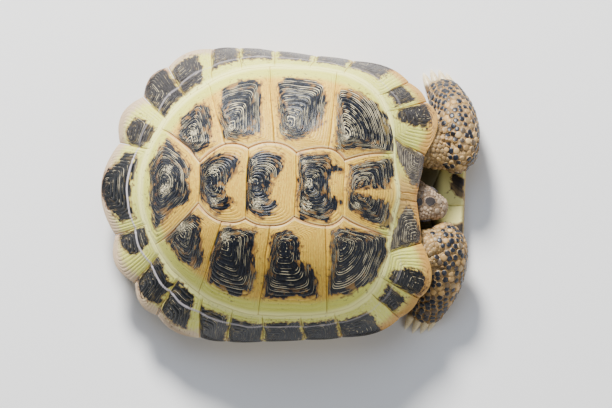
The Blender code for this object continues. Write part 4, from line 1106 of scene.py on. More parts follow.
def faced(place):
    """The head with its face: lids round the eyes, a mouth line, nostrils and a horny beak.

    Near an eye, the skin follows the eyeball's sphere, thickens to a rim at the lid's edge, and
    inside that edge it passes behind the eyeball. The mouth is a groove with the lower jaw set in
    under it.
    """
    along, across, up = place[..., 0], place[..., 1], place[..., 2]
    side = np.sign(across)
    share = eye_shares(place)
    centre = np.stack((EYE_AT[0] + 0 * along, EYE_AT[1] * side, EYE_AT[2] + 0 * along), axis=-1)
    spoke = place - centre
    size = norm(spoke, axis=-1, keepdims=True)
    rim_rise = 0.35 + 0.3 * np.exp(-(((share - 1.12) / 0.16) ** 2))
    rim_rise = rim_rise - 0.15 * np.exp(-(((share - 1.6) / 0.2) ** 2))
    ball = centre + spoke / np.maximum(size, 1e-6) * (EYE_RADIUS + rim_rise[..., None])
    lid = ramp(share, 2.1, 1.4)[..., None]
    shaped = place * (1 - lid) + ball * lid
    hollow = ramp(share, 1.02, 0.8)[..., None]
    shaped = shaped - hollow * np.stack((0 * along, side * 3.4, 0 * along), axis=-1)

    line = np.interp(along, *np.array(MOUTH_LINE).T)
    below = line - up
    present = ramp(along, 10.5, 13)
    length = norm(shaped[..., 1:], axis=-1, keepdims=True)
    inward = -shaped[..., 1:] / np.maximum(length, 1e-6)
    groove = 0.55 * np.exp(-((below / 0.32) ** 2)) + 0.38 * ramp(below, 0.1, 0.5) * ramp(below, 5.5, 2)
    shaped = shaped + np.concatenate((np.zeros(inward.shape[:-1] + (1,)), inward), axis=-1) * (
        present * groove)[..., None]
    nostril = np.exp(-(((np.abs(across) - 1.5) / 0.55) ** 2) - ((up - 1.9) / 0.5) ** 2)
    nostril = nostril * ramp(along, 25, 26)
    shaped[..., 0] -= 0.7 * nostril
    beak_above = ramp(along, 19.5, 22.5) * ramp(below, 0, -0.3) * ramp(below, -4.2, -3.2)
    beak_below = ramp(along, 16.5, 19) * ramp(below, 0.2, 0.5) * ramp(below, 4.4, 3.6)
    # The pits, the mouth's groove and the nostrils, are painted near-black on the skin: painted shade in
    # these hollows.
    pit = np.maximum(nostril, present * np.exp(-((below / 0.3) ** 2)))
    return shaped, {"horn": np.maximum(beak_above, beak_below), "pit": pit, "lid": ramp(share, 1.9, 1.2)}


def in_shell_frame(place):
    """Head places turned to points of the shell's frame."""
    ahead, across, up = head_axes()
    return np.array(HEAD_BACK) + place[..., :1] * ahead + place[..., 1:2] * across + place[..., 2:] * up


def head_mesh():
    """The head as one fine closed surface, from inside the neck to the beak, with its facts."""
    turn = circle(208)
    distance = [np.linspace(*part) for part in ((-6, 10, 22), (10.4, 24.6, 44), (24.9, HEAD_LENGTH, 9))]
    distance = np.concatenate(distance)[:, None]
    place = head_place(distance + 0 * turn, turn + 0 * distance, -SKIN_DEPTH)
    tip = np.array((HEAD_LENGTH + SNOUT_CAP - SKIN_DEPTH + 0.25, 0, -SNOUT_DROP))
    shrink = np.array((0.85, 0.68, 0.5, 0.32, 0.15))[:, None, None]
    front = tip + (place[-1] - tip) * shrink
    front[..., 0] = tip[0] + (place[-1, :, 0] - tip[0]) * shrink[..., 0] ** 2
    place = np.concatenate((place, front))
    shaped, facts = faced(place)
    back, tip = in_shell_frame(place[0, 0] * (1, 0, 0)), in_shell_frame(tip)
    points, quads, triangles = closed_rings(in_shell_frame(shaped), back, tip, True)
    facts = {k: np.concatenate(([0], v.ravel(), [v[-1].mean()])) for k, v in facts.items()}
    return (points, quads, triangles), facts


def body_mesh(voxel):
    """Trunk, neck, limbs and tail grown into one skin, held clear of the shell, with its folds."""
    parts = [trunk_mesh(-SKIN_DEPTH)] + [limb_mesh(stations, -SKIN_DEPTH) for stations in limbs().values()]
    rough = placed("rough_body", as_mesh("rough_body", *stacked(parts)))
    one = rough.modifiers.new("one skin", "REMESH")
    one.mode, one.voxel_size = "VOXEL", voxel
    soft = rough.modifiers.new("soften", "SMOOTH")
    soft.factor, soft.iterations = 0.5, 7
    graph = bpy.context.evaluated_depsgraph_get()
    mesh = bpy.data.meshes.new_from_object(rough.evaluated_get(graph))
    bpy.data.objects.remove(rough)

    points, directions = (read(mesh.vertices, label, 3).astype(float) for label in ("co", "normal"))
    points += directions * folds(points)[:, None]
    points = over_plastron(under_carapace(points, CLEARANCE + 0.1), CLEARANCE)
    points[:, 2] = np.maximum(points[:, 2], 0.15)
    quads = read(mesh.loops, "vertex_index", 1, np.int32).reshape(-1, 4)
    # What lies deep under the shell is never seen: it is closed with a plain lid above and below.
    deep = np.hypot(points[:, 0], points[:, 1]) < HIDDEN_RADIUS
    kept = quads[~deep[quads].any(axis=1)]
    number = np.full(len(points), -1)
    used = np.unique(kept)
    number[used] = np.arange(len(used))
    return points[used], number[kept]


def lids(points, quads):
    """Plain fans that close the open edges of a skin, one for each loop of them."""
    edges = np.concatenate([quads[:, (k, (k + 1) % 4)] for k in range(4)])
    keys = np.sort(edges, axis=1) @ np.array((len(points), 1))
    _, first, counts = np.unique(keys, return_index=True, return_counts=True)
    border = edges[first[counts == 1]]
    upper = points[border[:, 0], 2] > LID_SPLIT
    fans, centres = [], []
    for number, these in enumerate((border[upper], border[~upper])):
        centres.append(points[these[:, 0]].mean(axis=0))
        middle = np.full(len(these), len(points) + number)
        fans.append(np.stack((these[:, 1], these[:, 0], middle), axis=-1))
    return np.vstack((points, centres)), np.vstack(fans)


def limb_sites(name, stations, tile):
    """Where the scales of a limb grow: rings along it and over its rounded root, each shifted half a step.

    A site is a row: place, direction along the limb, half-length, half-width, height, darkness, and
    its place on the unwrap, whose tile is the limb's own.
    """
    near, far, height, dark_near, dark_far = SCALE_KINDS[name.split("_")[0]]
    last = len(stations) - 1
    at = np.linspace(0, last, 200)
    line = limb_surface(stations, at, np.full(200, np.pi / 2), -SKIN_DEPTH)[0]
    reached = distances(line)
    cap = 0.6 * min(stations[0][1])
    rows, distance, number = [], -0.93 * cap, 0
    while distance < reached[-1]:
        before = min(distance, 0)
        shrink = math.sqrt(1 - (before / cap) ** 2)
        share = max(distance, 0) / reached[-1]
        pitch = near + (far - near) * share
        k = np.interp(distance, reached, at)
        turn = circle(64)
        ring = limb_surface(stations, np.full(64, k), turn, -SKIN_DEPTH)[0]
        middle = ring.mean(axis=0)
        steps = norm(np.roll(ring, -1, axis=0) - ring, axis=1)
        count = max(4, int(round(steps.sum() * shrink / pitch)))
        order = np.arange(count)
        spots = (order + 0.5 * (number % 2) + 0.3 * (scatter(order, number, 3) - 0.5)) / count
        passed = np.concatenate(([0], np.cumsum(steps)))
        around = np.interp(spots % 1 * steps.sum(), passed, np.append(turn, 2 * np.pi))
        here = np.clip(k + 0.3 * (scatter(order, number, 4) - 0.5) * pitch / reached[-1] * last, 0, last)
        place, ahead = limb_surface(stations, here, around, -SKIN_DEPTH)
        place = middle + (place - middle) * shrink + ahead * before
        size = 0.84 + 0.34 * scatter(order, number, 6)
        dark = (dark_near + (dark_far - dark_near) * share) * ramp(scatter(order, number, 8), 0.02, 0.4)
        u, v = tile[0] + tile[2] * here / last, tile[1] + tile[3] * around / (2 * np.pi)
        reach = size * pitch
        rows.append(np.column_stack((place, ahead, reach * 0.5, reach * 0.48, height * size, dark, u, v)))
        distance += pitch * 0.87
        number += 1
    return np.vstack(rows)


def head_sites(tile):
    """Where the head's scales grow: the large plates, and small granules between them."""
    rows = []
    for number, distance in enumerate(np.arange(0.5, 25.5, 1.6)):
        count = 30
        order = np.arange(count)
        turn = (order + 0.5 * (number % 2) + 0.3 * scatter(order, number, 13)) / count * 2 * np.pi
        here = distance + 0.35 * (scatter(order, number, 14) - 0.5)
        place = head_place(here, turn, -SKIN_DEPTH)
        line = np.interp(place[:, 0], *np.array(MOUTH_LINE).T)
        clear = (eye_shares(place) > 1.9) & ((np.abs(place[:, 2] - line) > 0.9) | (place[:, 0] < 11))
        clear &= ~((place[:, 0] > 19.5) & (place[:, 2] < line + 3.6))
        for along, angle, length, width, _ in HEAD_PLATES:
            middle = head_place(np.array(along), np.radians(angle), -SKIN_DEPTH)
            away = (place[:, :2] - middle[:2]) / (length + 0.5, width + 0.5)
            clear &= (np.hypot(*away.T) > 1) | (place[:, 2] < 0)
        size = 0.86 * (0.8 + 0.4 * scatter(order, number, 15))
        dark = 0.55 * ramp(scatter(order, number, 16), 0.75, 0.95)
        u, v = tile[0] + tile[2] * here / HEAD_LENGTH, tile[1] + tile[3] * turn / (2 * np.pi)
        rows.append(np.column_stack((place, size, size, 0.24 + 0 * size, dark, u, v))[clear])
    for along, angle, length, width, dark in HEAD_PLATES:
        place = head_place(np.array(along), np.radians(angle), -SKIN_DEPTH)
        u, v = tile[0] + tile[2] * along / HEAD_LENGTH, tile[1] + tile[3] * angle / 360
        rows.append(np.array([[*place, length, width, 0.42, dark, u, v]]))
    rows = np.vstack(rows)
    ahead = np.tile(head_axes()[0], (len(rows), 1))
    return np.column_stack((in_shell_frame(rows[:, :3]), ahead, rows[:, 3:]))


def grown_scales(sites, tree, head=False):
    """Raised scales on the skin at their sites: low domes with uneven outlines, closed below.

    A scale is five rings of nine points round a middle, from a hidden base up a steep side to a
    shallow crown that leans towards the foot. Sites far from the skin or under a fold are left out.
    """
    found = [tree.find_nearest(Vector(site[:3])) for site in sites]
    place = np.array([hit[0] for hit in found])
    up = np.array([hit[1] for hit in found])
    gap = norm(place - sites[:, :3], axis=1)
    kept = (gap < 1.3) & (np.hypot(place[:, 0], place[:, 1]) > 56) & (crease_distance(place) > 0.9)
    kept &= place[:, 2] > 0.9
    sites, place, up = sites[kept], place[kept], up[kept]
    ahead = sites[:, 3:6] - up * np.sum(sites[:, 3:6] * up, axis=1)[:, None]
    ahead /= np.maximum(norm(ahead, axis=1, keepdims=True), 1e-6)
    across = np.cross(up, ahead)
    count, sides = len(sites), SCALE_SIDES
    order = np.arange(count)[:, None]
    angle = circle(sides) + 0.7 * scatter(order, 21)
    ragged = 1 + 0.24 * (scatter(order, np.arange(sides)[None], 22) - 0.5)
    reach = np.array((1.04, 1, 0.86, 0.62, 0.3))
    rise = np.array((-0.3, 0.12, 0.72, 0.94, 1))
    x = reach[None, :, None] * (ragged * np.cos(angle))[:, None]
    y = reach[None, :, None] * (ragged * np.sin(angle))[:, None]
    high = rise[None, :, None] * (1 + 0.28 * x)
    length, width, height, dark = (sites[:, k][:, None, None] for k in (6, 7, 8, 9))
    drop = 0.32 * (np.minimum(length, width) / 6) * (x * x + y * y)
    shape = place[:, None, None] + (x * length)[..., None] * ahead[:, None, None]
    shape = shape + (y * width)[..., None] * across[:, None, None]
    shape = shape + (high * height - drop)[..., None] * up[:, None, None]
    base, top = place - up * 0.3, place + up * sites[:, 8:9]
    points = np.concatenate((base[:, None], shape.reshape(count, -1, 3), top[:, None]), axis=1)
    # Scales at the very front are pressed flatter, so that none passes the front of the solids.
    front = CAD_BOX[1][0] / MM - SHIFT[0] - 0.7
    past = np.maximum(points[..., 0] - front, 0)
    points[..., 0] += 0.65 * np.tanh(past / 0.65) - past
    size = points.shape[1]
    _, quads, triangles = closed_rings(np.zeros((5, sides, 3)), np.zeros(3), np.zeros(3), True)
    start = (np.arange(count) * size)[:, None, None]
    core = np.concatenate(([1], np.repeat(reach.clip(0, 1), sides), [0]))
    flat = np.zeros((count, size, 2))
    flat[:, 1:-1, 0], flat[:, 1:-1, 1] = x.reshape(count, -1), y.reshape(count, -1)
    patch = sites[:, None, 10:12] + 0.0014 * flat
    facts = {
        "core": np.tile(core, count),
        "night": np.repeat(sites[:, 9], size),
        "shade": np.repeat(scatter(order[:, 0], 23), size),
        "rosy": np.full(count * size, 0.75 if head else 0.0),
    }
    quads, triangles = (quads + start).reshape(-1, 4), (triangles + start).reshape(-1, 3)
    return points.reshape(-1, 3), quads, triangles, patch, facts


# ======== Finishes ========

SMOOTH = {"interpolation_type": "SMOOTHSTEP"}
TIMES, TIMES_PLUS = {"operation": "MULTIPLY"}, {"operation": "MULTIPLY_ADD"}
COLOURS = {"data_type": "RGBA"}


def colour(text):
    """Linear RGBA from an sRGB hex value."""
    parts = np.array([int(text[k : k + 2], 16) for k in (1, 3, 5)]) / 255
    linear = np.where(parts <= 0.04045, parts / 12.92, ((parts + 0.055) / 1.055) ** 2.4)
    return (*(float(c) for c in linear), 1)


def fill(tree, node, inputs):
    """Give a node's inputs, by name or number, a value, a hex colour or the socket that feeds them."""
    for key, value in inputs.items():
        if isinstance(value, bpy.types.NodeSocket):
            tree.links.new(value, node.inputs[key])
        else:
            node.inputs[key].default_value = colour(value) if isinstance(value, str) else value


def add_node(tree, kind, inputs=(), result=0, **settings):
    """A node with its settings and links, and the socket of its result.

    The inputs are taken in order, or by name or number from a dictionary.
    """
    made = tree.nodes.new("ShaderNode" + kind)
    for key, value in settings.items():
        setattr(made, key, value)
    fill(tree, made, inputs if isinstance(inputs, dict) else dict(enumerate(inputs)))
    return made.outputs[result]


def material(name, look):
    """The material of that name. It is made once: look adds its nodes and gives the shader's inputs.

    Its Base Color is a list: a ground colour, then pairs of a mask and the colour that it lays over.
    """
    made = bpy.data.materials.get(name)
    if made is None:
        made = bpy.data.materials.new(name)
        made.use_nodes = True
        tree = made.node_tree
        add = functools.partial(add_node, tree)
        inputs = look(add)
        base, *layers = inputs["Base Color"]
        for mask, over in layers:
            base = add("Mix", {0: mask, 6: base, 7: over}, 2, **COLOURS)
        fill(tree, tree.nodes["Principled BSDF"], {**inputs, "Base Color": base})
    return made


def grown_horn(add, ground, dark_colours, cream, roughness, thinning):
    """Keratin scute, grown in yearly rings: smooth and a little waxy, with fine ring lines.

    Pale horn shows the rings as thin darker lines. Pigment lies in streaks that follow the rings,
    ends raggedly and thins to a brown stain at its edge. In the dark parts, each ring's lip is a
    thin cream line with breaks in it, partly pale horn and partly a painted glint, and where the
    horn has worn the cream shows in flecks. In the dark, a cool blue along the streaks is a painted
    sheen, the grey-lilac of bleached horn is partly painted sheen too, and the ring grooves are
    darkened as painted shade.
    """
    fact = {label: add("Attribute", attribute_name=label, result="Fac") for label in (
        "blotch", "margin", "seam", "ring", "tone", "worn", "spine", "band", "rimward", "faded", "under")}
    growth = add("Attribute", attribute_name="growth", result="Vector")
    position = add("TexCoord", result="Object")
    # Streaks 2.4 mm long and clouds 9 mm long along the rings.
    streaks = add("TexNoise", {"Vector": growth, "Scale": 0.42, "Detail": 4, "Roughness": 0.62})
    broad = add("TexNoise", {"Vector": growth, "Scale": 0.11, "Detail": 3})
    # Mottling 1.7 mm across, flecks of 0.7 mm and grain of 0.4 mm.
    mottle = add("TexNoise", {"Vector": position, "Scale": 600, "Detail": 3})
    flecks = add("TexNoise", {"Vector": position, "Scale": 1500, "Detail": 2, "Distortion": 1.2})
    grain = add("TexNoise", {"Vector": position, "Scale": 2500, "Detail": 2})

    within = add("Math", (fact["ring"],), operation="FRACT")
    finer = add("Math", (fact["ring"], 4, streaks), **TIMES_PLUS)
    finer = add("Math", (finer,), operation="FRACT")
    fine_line = add("MapRange", (finer, 0.5, 0.95, 0, 1), **SMOOTH)

    # A ring's lip is a narrow crest near its end, with a lower one before its middle. Its cream line is
    # partly pale horn and partly a painted glint on the lip.
    crests = []
    for middle, reach, top in ((0.86, 0.2, 1), (0.38, 0.16, 0.78)):
        away = add("Math", (within, middle), operation="SUBTRACT")
        away = add("Math", (away,), operation="ABSOLUTE")
        crests.append(add("MapRange", (away, 0, reach, top, 0)))
    crest = add("Math", crests, operation="MAXIMUM")
    uneven = -0.21
    for part, share in ((fact["tone"], 0.62), (streaks, 0.36), (broad, 0.5), (fact["worn"], 0.08)):
        uneven = add("Math", (part, share, uneven), **TIMES_PLUS)
    crest = add("Math", (crest, uneven))
    lines = add("MapRange", (crest, 1.22, 1.46, 0, 0.9), **SMOOTH)
    worn = add("Math", (fact["worn"], 0.33, flecks), **TIMES_PLUS)
    worn = add("MapRange", (worn, 0.82, 0.9, 0, 0.9), **SMOOTH)
    lines = add("Math", (lines, worn), operation="MAXIMUM")
    kept = add("Math", (fact["faded"], -0.8, 1), **TIMES_PLUS)
    lines = add("Math", (lines, kept), **TIMES)
    # Grey-lilac over the dark: partly bleached horn, partly a painted sheen.
    bleached_and_sheen = add("MapRange", (streaks, 0.3, 0.62, 0.45, 1.25), **SMOOTH)
    bleached_and_sheen = add("Math", (bleached_and_sheen, fact["faded"]), **TIMES)

    edge = add("Math", (fact["blotch"], -1.3))
    for part, share in ((streaks, 1.6), (mottle, 1.3)):
        edge = add("Math", (part, share, edge), **TIMES_PLUS)
    dark = add("MapRange", (edge, -0.1, 0.35, 0, 1), **SMOOTH)
    stain = add("MapRange", (edge, -1.3, 0.1, 0, 0.8), **SMOOTH)
    # Specks of pigment lie in the tan up to 5 mm beyond the blotch.
    specks = add("MapRange", (mottle, 0.6, 0.66, 0, 0.8), **SMOOTH)
    beyond = add("MapRange", (edge, -6, -0.5, 0, 1), **SMOOTH)
    specks = add("Math", (specks, beyond), **TIMES)
    # Now and then the pigment thins to orange-brown between two rings near the blotch's edge.
    gaps = add("MapRange", (broad, 0.54, 0.63, 0, 1), **SMOOTH)
    outer = add("MapRange", (edge, 1.5, 6, thinning, 0), **SMOOTH)
    gaps = add("Math", (gaps, outer), **TIMES)
    dark = add("Math", (dark, gaps), operation="SUBTRACT", use_clamp=True)

    # Painted sheen: a cool blue along the streaks in the dark stands in for the sky's reflection on glossy
    # horn.
    painted_sheen = add("MapRange", (streaks, 0.4, 0.62, 0, 1), **SMOOTH)
    # Painted shade: the groove at the start of each ring is darkened in the dark parts.
    groove = add("MapRange", (within, 0.5, 0.1, 0, 0.4), **SMOOTH)
    night, blue, faded = dark_colours
    for mask, over in ((painted_sheen, blue), (groove, "#0d0e11"), (bleached_and_sheen, faded), (lines, cream)):
        night = add("Mix", {0: mask, 6: night, 7: over}, 2, **COLOURS)
    base = [*ground(fact, streaks, fine_line), (specks, "#6a4a34"), (stain, "#7a5030"), (dark, night)]
    gloss, height = roughness, lines
    for part, share in ((dark, -0.1), (streaks, 0.2)):
        gloss = add("Math", (part, share, gloss), **TIMES_PLUS)
    for part, share in ((fine_line, 0.3), (streaks, 0.8), (grain, 0.15)):
        height = add("Math", (part, share, height), **TIMES_PLUS)
    bump = add("Bump", {"Strength": 0.55, "Distance": 0.0002, "Height": height})
    return {"Base Color": base, "Roughness": gloss, "Specular IOR Level": 0.36, "Normal": bump}


def horn_of_dome(add):
    """Dome scutes: tan horn, pale yellow towards the marginals, and orange-brown at the seams."""
    shell = bpy.context.scene.tortoise_shell

    def ground(fact, streaks, fine_line):
        lighter, crest, joint, beside, spine, inner = (add("MapRange", each, **SMOOTH) for each in (
            (streaks, 0.4, 0.65, 0, 1),
            (fact["seam"], -2.6, -0.6, 0, 0.9),
            (fact["margin"], 0.7, 0.15, 0, 0.45),
            (fact["spine"], 1.5, 0.7, 0, 0.5),
            (fact["spine"], 0.75, 0.25, 0, 0.7),
            (fact["seam"], -2, -7, 0, 1),
        ))
        lined = add("Math", (fine_line, 0.4), **TIMES)
        olive, spine, beside = (add("Math", pair, **TIMES) for pair in (
            (lined, fact["band"]), (spine, inner), (beside, inner)))
        return (
            (*shell.tan, 1), (lighter, (*shell.straw, 1)), (lined, "#b58443"),
            (fact["band"], (*shell.pale_band, 1)), (olive, "#a3a04a"), (crest, "#faf59c"),
            (joint, "#a9803c"), (beside, "#f0d9a6"), (spine, (*shell.seam, 1)),
        )

    # The second dark colour is a painted blue sheen; the third, grey-lilac, is partly bleached horn and
    # partly painted sheen.
    dark_colours = ("#05060a", "#1c222e", "#41444f")
    return grown_horn(add, ground, dark_colours, (*shell.cream, 1), 0.34, 0.85)


def horn_of_rim(add):
    """Marginal scutes: yellow-green horn, orange-brown at the front rim and pinkish at the rear."""
    shell = bpy.context.scene.tortoise_shell

    def ground(fact, streaks, fine_line):
        forward = add("SeparateXYZ", (add("TexCoord", result="Object"),))
        outward = add("Math", (streaks, 0.3, fact["rimward"]), **TIMES_PLUS)
        edge, front, rear, lighter, crest, joint, outer = (add("MapRange", each, **SMOOTH) for each in (
            (outward, 0.82, 1.05, 0, 0.9),
            (forward, 0.01, 0.05, 0, 1),
            (forward, -0.01, -0.05, 0, 1),
            (streaks, 0.4, 0.65, 0, 1),
            (fact["seam"], 2.8, 0.8, 0, 0.9),
            (fact["margin"], 0.7, 0.15, 0, 0.55),
            (fact["seam"], 1, 4, 0, 1),
        ))
        front, rear, joint, lined = (add("Math", pair, **TIMES) for pair in (
            (edge, front), (edge, rear), (joint, outer), (fine_line, 0.3)))
        orange = add("Math", (0.94, fact["band"]), operation="SUBTRACT")
        return (
            (*shell.pale_band, 1), (lighter, "#e6e284"), (orange, "#d8a152"), (lined, "#a79a4e"),
            (front, "#c68f45"), (rear, "#cdb096"), (crest, "#faf59c"), (joint, "#b98c46"),
            (fact["under"], "#d2c17c"),
        )

    # Its dark colours: near-black, a painted blue sheen, and a grey-lilac that is partly bleached horn and
    # partly painted sheen.
    look = grown_horn(add, ground, ("#060709", "#10151c", "#6c625c"), "#cfc09c", 0.34, 0.25)
    # The raised line shows as whitish-lilac bleaching, over pale and dark alike.
    rimward, strength = (add("Attribute", attribute_name=label, result="Fac") for label in (
        "rimward", "line"))
    away = add("Math", (rimward, RIM_LINE), operation="SUBTRACT")
    away = add("Math", (away,), operation="ABSOLUTE")
    mask = add("MapRange", (away, 0.034, 0.008, 0, 1), **SMOOTH)
    mask = add("Math", (mask, strength), **TIMES)
    look["Base Color"].append((mask, "#cdc3c4"))
    return look


def horn_of_plastron(add):
    """Plastral scutes: worn yellow-brown horn, dull from rubbing on the ground."""

    def ground(fact, streaks, fine_line):
        forward = add("SeparateXYZ", (add("TexCoord", result="Object"),))
        lighter, joint, deep = (add("MapRange", each, **SMOOTH) for each in (
            (streaks, 0.4, 0.65, 0, 1), (fact["margin"], 1.2, 0.2, 0, 1), (forward, 0.078, 0.073, 0, 0.9)))
        # Behind the lip the inner face is painted dark: painted shade, where the neck and forelegs shadow it.
        lined, deep = (add("Math", pair, **TIMES) for pair in ((fine_line, 0.35), (deep, fact["under"])))
        return ("#c9b272", (lighter, "#b89a58"), (lined, "#94743c"), (joint, "#a98950"),
                (fact["under"], "#ddd384"), (deep, "#2c2219"))

    return grown_horn(add, ground, ("#231d18", "#382f28", "#4a3f35"), "#a08a5c", 0.5, 0.5)


def reptile_skin(add):
    """Dry, folded reptile skin: small granular scales, tan, darker in the creases, hardly glossy."""
    horn, pit, lid, head = (add("Attribute", attribute_name=label, result="Fac") for label in (
        "horn", "pit", "lid", "head"))
    position = add("TexCoord", result="Object")
    patches = add("TexNoise", {"Vector": position, "Scale": 160, "Detail": 4})
    wander = add("TexNoise", {"Vector": position, "Scale": 500}, "Color")
    wander = add("VectorMath", (wander, (0.0006, 0.0006, 0.0006)), **TIMES)
    # Granules 1.1 mm across.
    granules = {"Vector": add("VectorMath", (position, wander)), "Scale": 900}
    cells = add("TexVoronoi", granules, feature="DISTANCE_TO_EDGE")
    tone = add("SeparateColor", (add("TexVoronoi", granules, "Color", feature="F1"),))
    browner, greyer, crack, dome = (add("MapRange", each, **SMOOTH) for each in (
        (patches, 0.4, 0.65, 0, 1), (tone, 0.6, 1, 0, 0.35), (cells, 0.16, 0.02, 0, 0.6),
        (cells, 0, 0.3, 0, 1)))
    face, pit, smooth = (add("Math", pair, **TIMES) for pair in ((head, 0.55), (pit, 0.85), (lid, 0.6)))
    # The pit mask is painted shade in the mouth's groove and the nostrils.
    base = [
        (*bpy.context.scene.tortoise_skin.skin, 1), (browner, "#94774c"), (greyer, "#6f6250"),
        (face, "#7d6a5c"), (crack, "#5a4228"), (lid, "#4a484e"), (horn, "#b09a68"), (pit, "#2a211a"),
    ]
    gloss = add("Math", (horn, -0.25, 0.66), **TIMES_PLUS)
    smooth = add("Math", (horn, smooth), operation="MAXIMUM")
    plain = add("Math", (1, smooth), operation="SUBTRACT")
    height = add("Math", (dome, plain), **TIMES)
    height = add("Math", (patches, 0.5, height), **TIMES_PLUS)
    bump = add("Bump", {"Strength": 0.7, "Distance": 0.00025, "Height": height})
    return {"Base Color": base, "Roughness": gloss, "Normal": bump, "Subsurface Weight": 0.06,
            "Subsurface Radius": (0.002, 0.001, 0.0006), "Subsurface Scale": 0.5}


def scale_horn(add):
    """Horny scale: golden-tan rim, blue-black middle on the larger ones, worn to a soft shine."""
    skin = bpy.context.scene.tortoise_skin
    core, night, shade, rosy = (add("Attribute", attribute_name=label, result="Fac") for label in (
        "core", "night", "shade", "rosy"))
    position = add("TexCoord", result="Object")
    patches = add("TexNoise", {"Vector": position, "Scale": 160, "Detail": 4})
    # Grain of 0.5 mm.
    grain = add("TexNoise", {"Vector": position, "Scale": 2000, "Detail": 3})
    reach = add("Math", (grain, 0.35, core), **TIMES_PLUS)
    browner, lighter, foot, middle, worn = (add("MapRange", each, **SMOOTH) for each in (
        (patches, 0.4, 0.65, 0, 0.6), (shade, 0.4, 1, 0, 0.55), (core, 0.9, 1, 0, 0.7),
        (reach, 1.12, 0.98, 0, 1), (grain, 0.58, 0.72, 0, 0.3)))
    middle = add("Math", (middle, night), **TIMES)
    base = [
        (*skin.scale, 1), (browner, "#a98552"), (lighter, "#d6b67c"), (rosy, "#a8937f"),
        (foot, "#6b4c2b"), (middle, (*skin.scale_middle, 1)), (worn, "#9a8f86"),
    ]
    gloss = add("Math", (middle, -0.14, 0.5), **TIMES_PLUS)
    bump = add("Bump", {"Strength": 0.4, "Distance": 0.00012, "Height": grain})
    return {"Base Color": base, "Roughness": gloss, "Normal": bump}


def wet_eye(add):
    """Eyeball: nearly black pupil, dark brown iris with fine spokes, and a wet clear surface."""
    away, spoke = (add("Attribute", attribute_name=label, result="Fac") for label in ("away", "spoke"))
    fibres = add("Math", (spoke, 0.5), **TIMES)
    pupil, ring, white = (add("MapRange", each, **SMOOTH) for each in (
        (away, 24, 21, 0, 1), (away, 42, 47, 0, 1), (away, 52, 60, 0, 1)))
    base = ["#241811", (fibres, "#4a3220"), (pupil, "#050404"), (ring, "#1a1410"), (white, "#5b4a3a")]
    return {"Base Color": base, "Roughness": 0.06, "IOR": 1.38, "Coat Weight": 1, "Coat Roughness": 0.02}


def claw_horn(add):
    """Claw keratin: cream, browner at the root, with fine lengthwise streaks and a worn sheen."""
    tipward = add("Attribute", attribute_name="tipward", result="Fac")
    position = add("TexCoord", result="Object")
    # Streaks of 0.6 mm.
    streak = add("TexNoise", {"Vector": position, "Scale": 1600, "Detail": 3})
    browner, root, tip = (add("MapRange", each, **SMOOTH) for each in (
        (streak, 0.45, 0.7, 0, 1), (tipward, 0.3, 0, 0, 1), (tipward, 0.6, 1, 0, 0.6)))
    base = ["#e6d3a6", (browner, "#cdb384"), (root, "#7d6546"), (tip, "#f6edd6")]
    bump = add("Bump", {"Strength": 0.35, "Distance": 0.00015, "Height": streak})
    return {"Base Color": base, "Roughness": 0.38, "Normal": bump}


def matt_floor(add):
    """Plain pale studio floor: matt paint with a faint roll-on grain."""
    grain = add("TexNoise", {"Vector": add("TexCoord", result="Object"), "Scale": 900, "Detail": 2})
    bump = add("Bump", {"Strength": 0.05, "Distance": 0.0002, "Height": grain})
    floor = (*bpy.context.scene.tortoise_stage.floor_colour, 1)
    return {"Base Color": [floor], "Roughness": 0.85, "Normal": bump}


# ======== Settings ========

LENGTH = {"unit": "LENGTH", "subtype": "DISTANCE", "precision": 5}
PAINT = {"subtype": "COLOR", "min": 0, "max": 1}


class TortoiseShellSettings(bpy.types.PropertyGroup):
    """Sizes and colours of the horn scutes."""

    rings: IntProperty(
        name="Growth rings", description="Yearly rings on each scute", default=13, min=4, max=20)
    ring_relief: FloatProperty(
        name="Ring relief", description="Height of a ring over its grooves", default=0.00026, **LENGTH)
    edge_round: FloatProperty(
        name="Edge rounding", description="Radius at the edges of a scute", default=0.0007, **LENGTH)
    tan: FloatVectorProperty(
        name="Tan", description="Pale horn of the dome", default=colour("#dcab3c")[:3], **PAINT)
    straw: FloatVectorProperty(
        name="Straw", description="Lighter streaks in the tan", default=colour("#f0c94c")[:3], **PAINT)
    pale_band: FloatVectorProperty(
        name="Pale band", description="Yellow-green horn beside the costal seam",
        default=colour("#dedd60")[:3], **PAINT)
    cream: FloatVectorProperty(
        name="Cream", description="Ring lips within the dark blotches", default=colour("#f2e2b4")[:3],
        **PAINT)
    seam: FloatVectorProperty(
        name="Seam", description="Orange-brown horn at the seams", default=colour("#b0733a")[:3], **PAINT)


class TortoiseSkinSettings(bpy.types.PropertyGroup):
    """Sizes and colours of the skin and its scales."""

    voxel: FloatProperty(
        name="Skin grain", description="Face size of the skin", default=0.00088, **LENGTH)
    skin: FloatVectorProperty(
        name="Skin", description="Bare skin between the scales", default=colour("#b5925a")[:3], **PAINT)
    scale: FloatVectorProperty(
        name="Scale", description="Rim of a scale", default=colour("#c49a58")[:3], **PAINT)
    scale_middle: FloatVectorProperty(
        name="Scale middle", description="Dark middle of a scale", default=colour("#171b24")[:3], **PAINT)


class TortoiseStageSettings(bpy.types.PropertyGroup):
    """Camera, light and floor."""

    elevation: FloatProperty(
        name="Elevation", description="Camera angle above the horizon", default=math.radians(84.5),
        subtype="ANGLE")
    azimuth: FloatProperty(
        name="Azimuth", description="Camera's turn round the tortoise from its right side",
        default=math.radians(2.4), subtype="ANGLE")
    view_width: FloatProperty(
        name="View width", description="Width seen at the height of the shell's middle", default=0.303,
        **LENGTH)
    lens: FloatProperty(name="Lens", description="Focal length in millimetres", default=300)
    floor_colour: FloatVectorProperty(
        name="Floor", description="Floor paint", default=colour("#f2f0ec")[:3], **PAINT)
    key_power: FloatProperty(
        name="Key light", description="Power of the key light in watts", default=51)
    fill_strength: FloatProperty(
        name="Fill", description="Strength of the even light from all round", default=0.27)


# ======== Operators ========


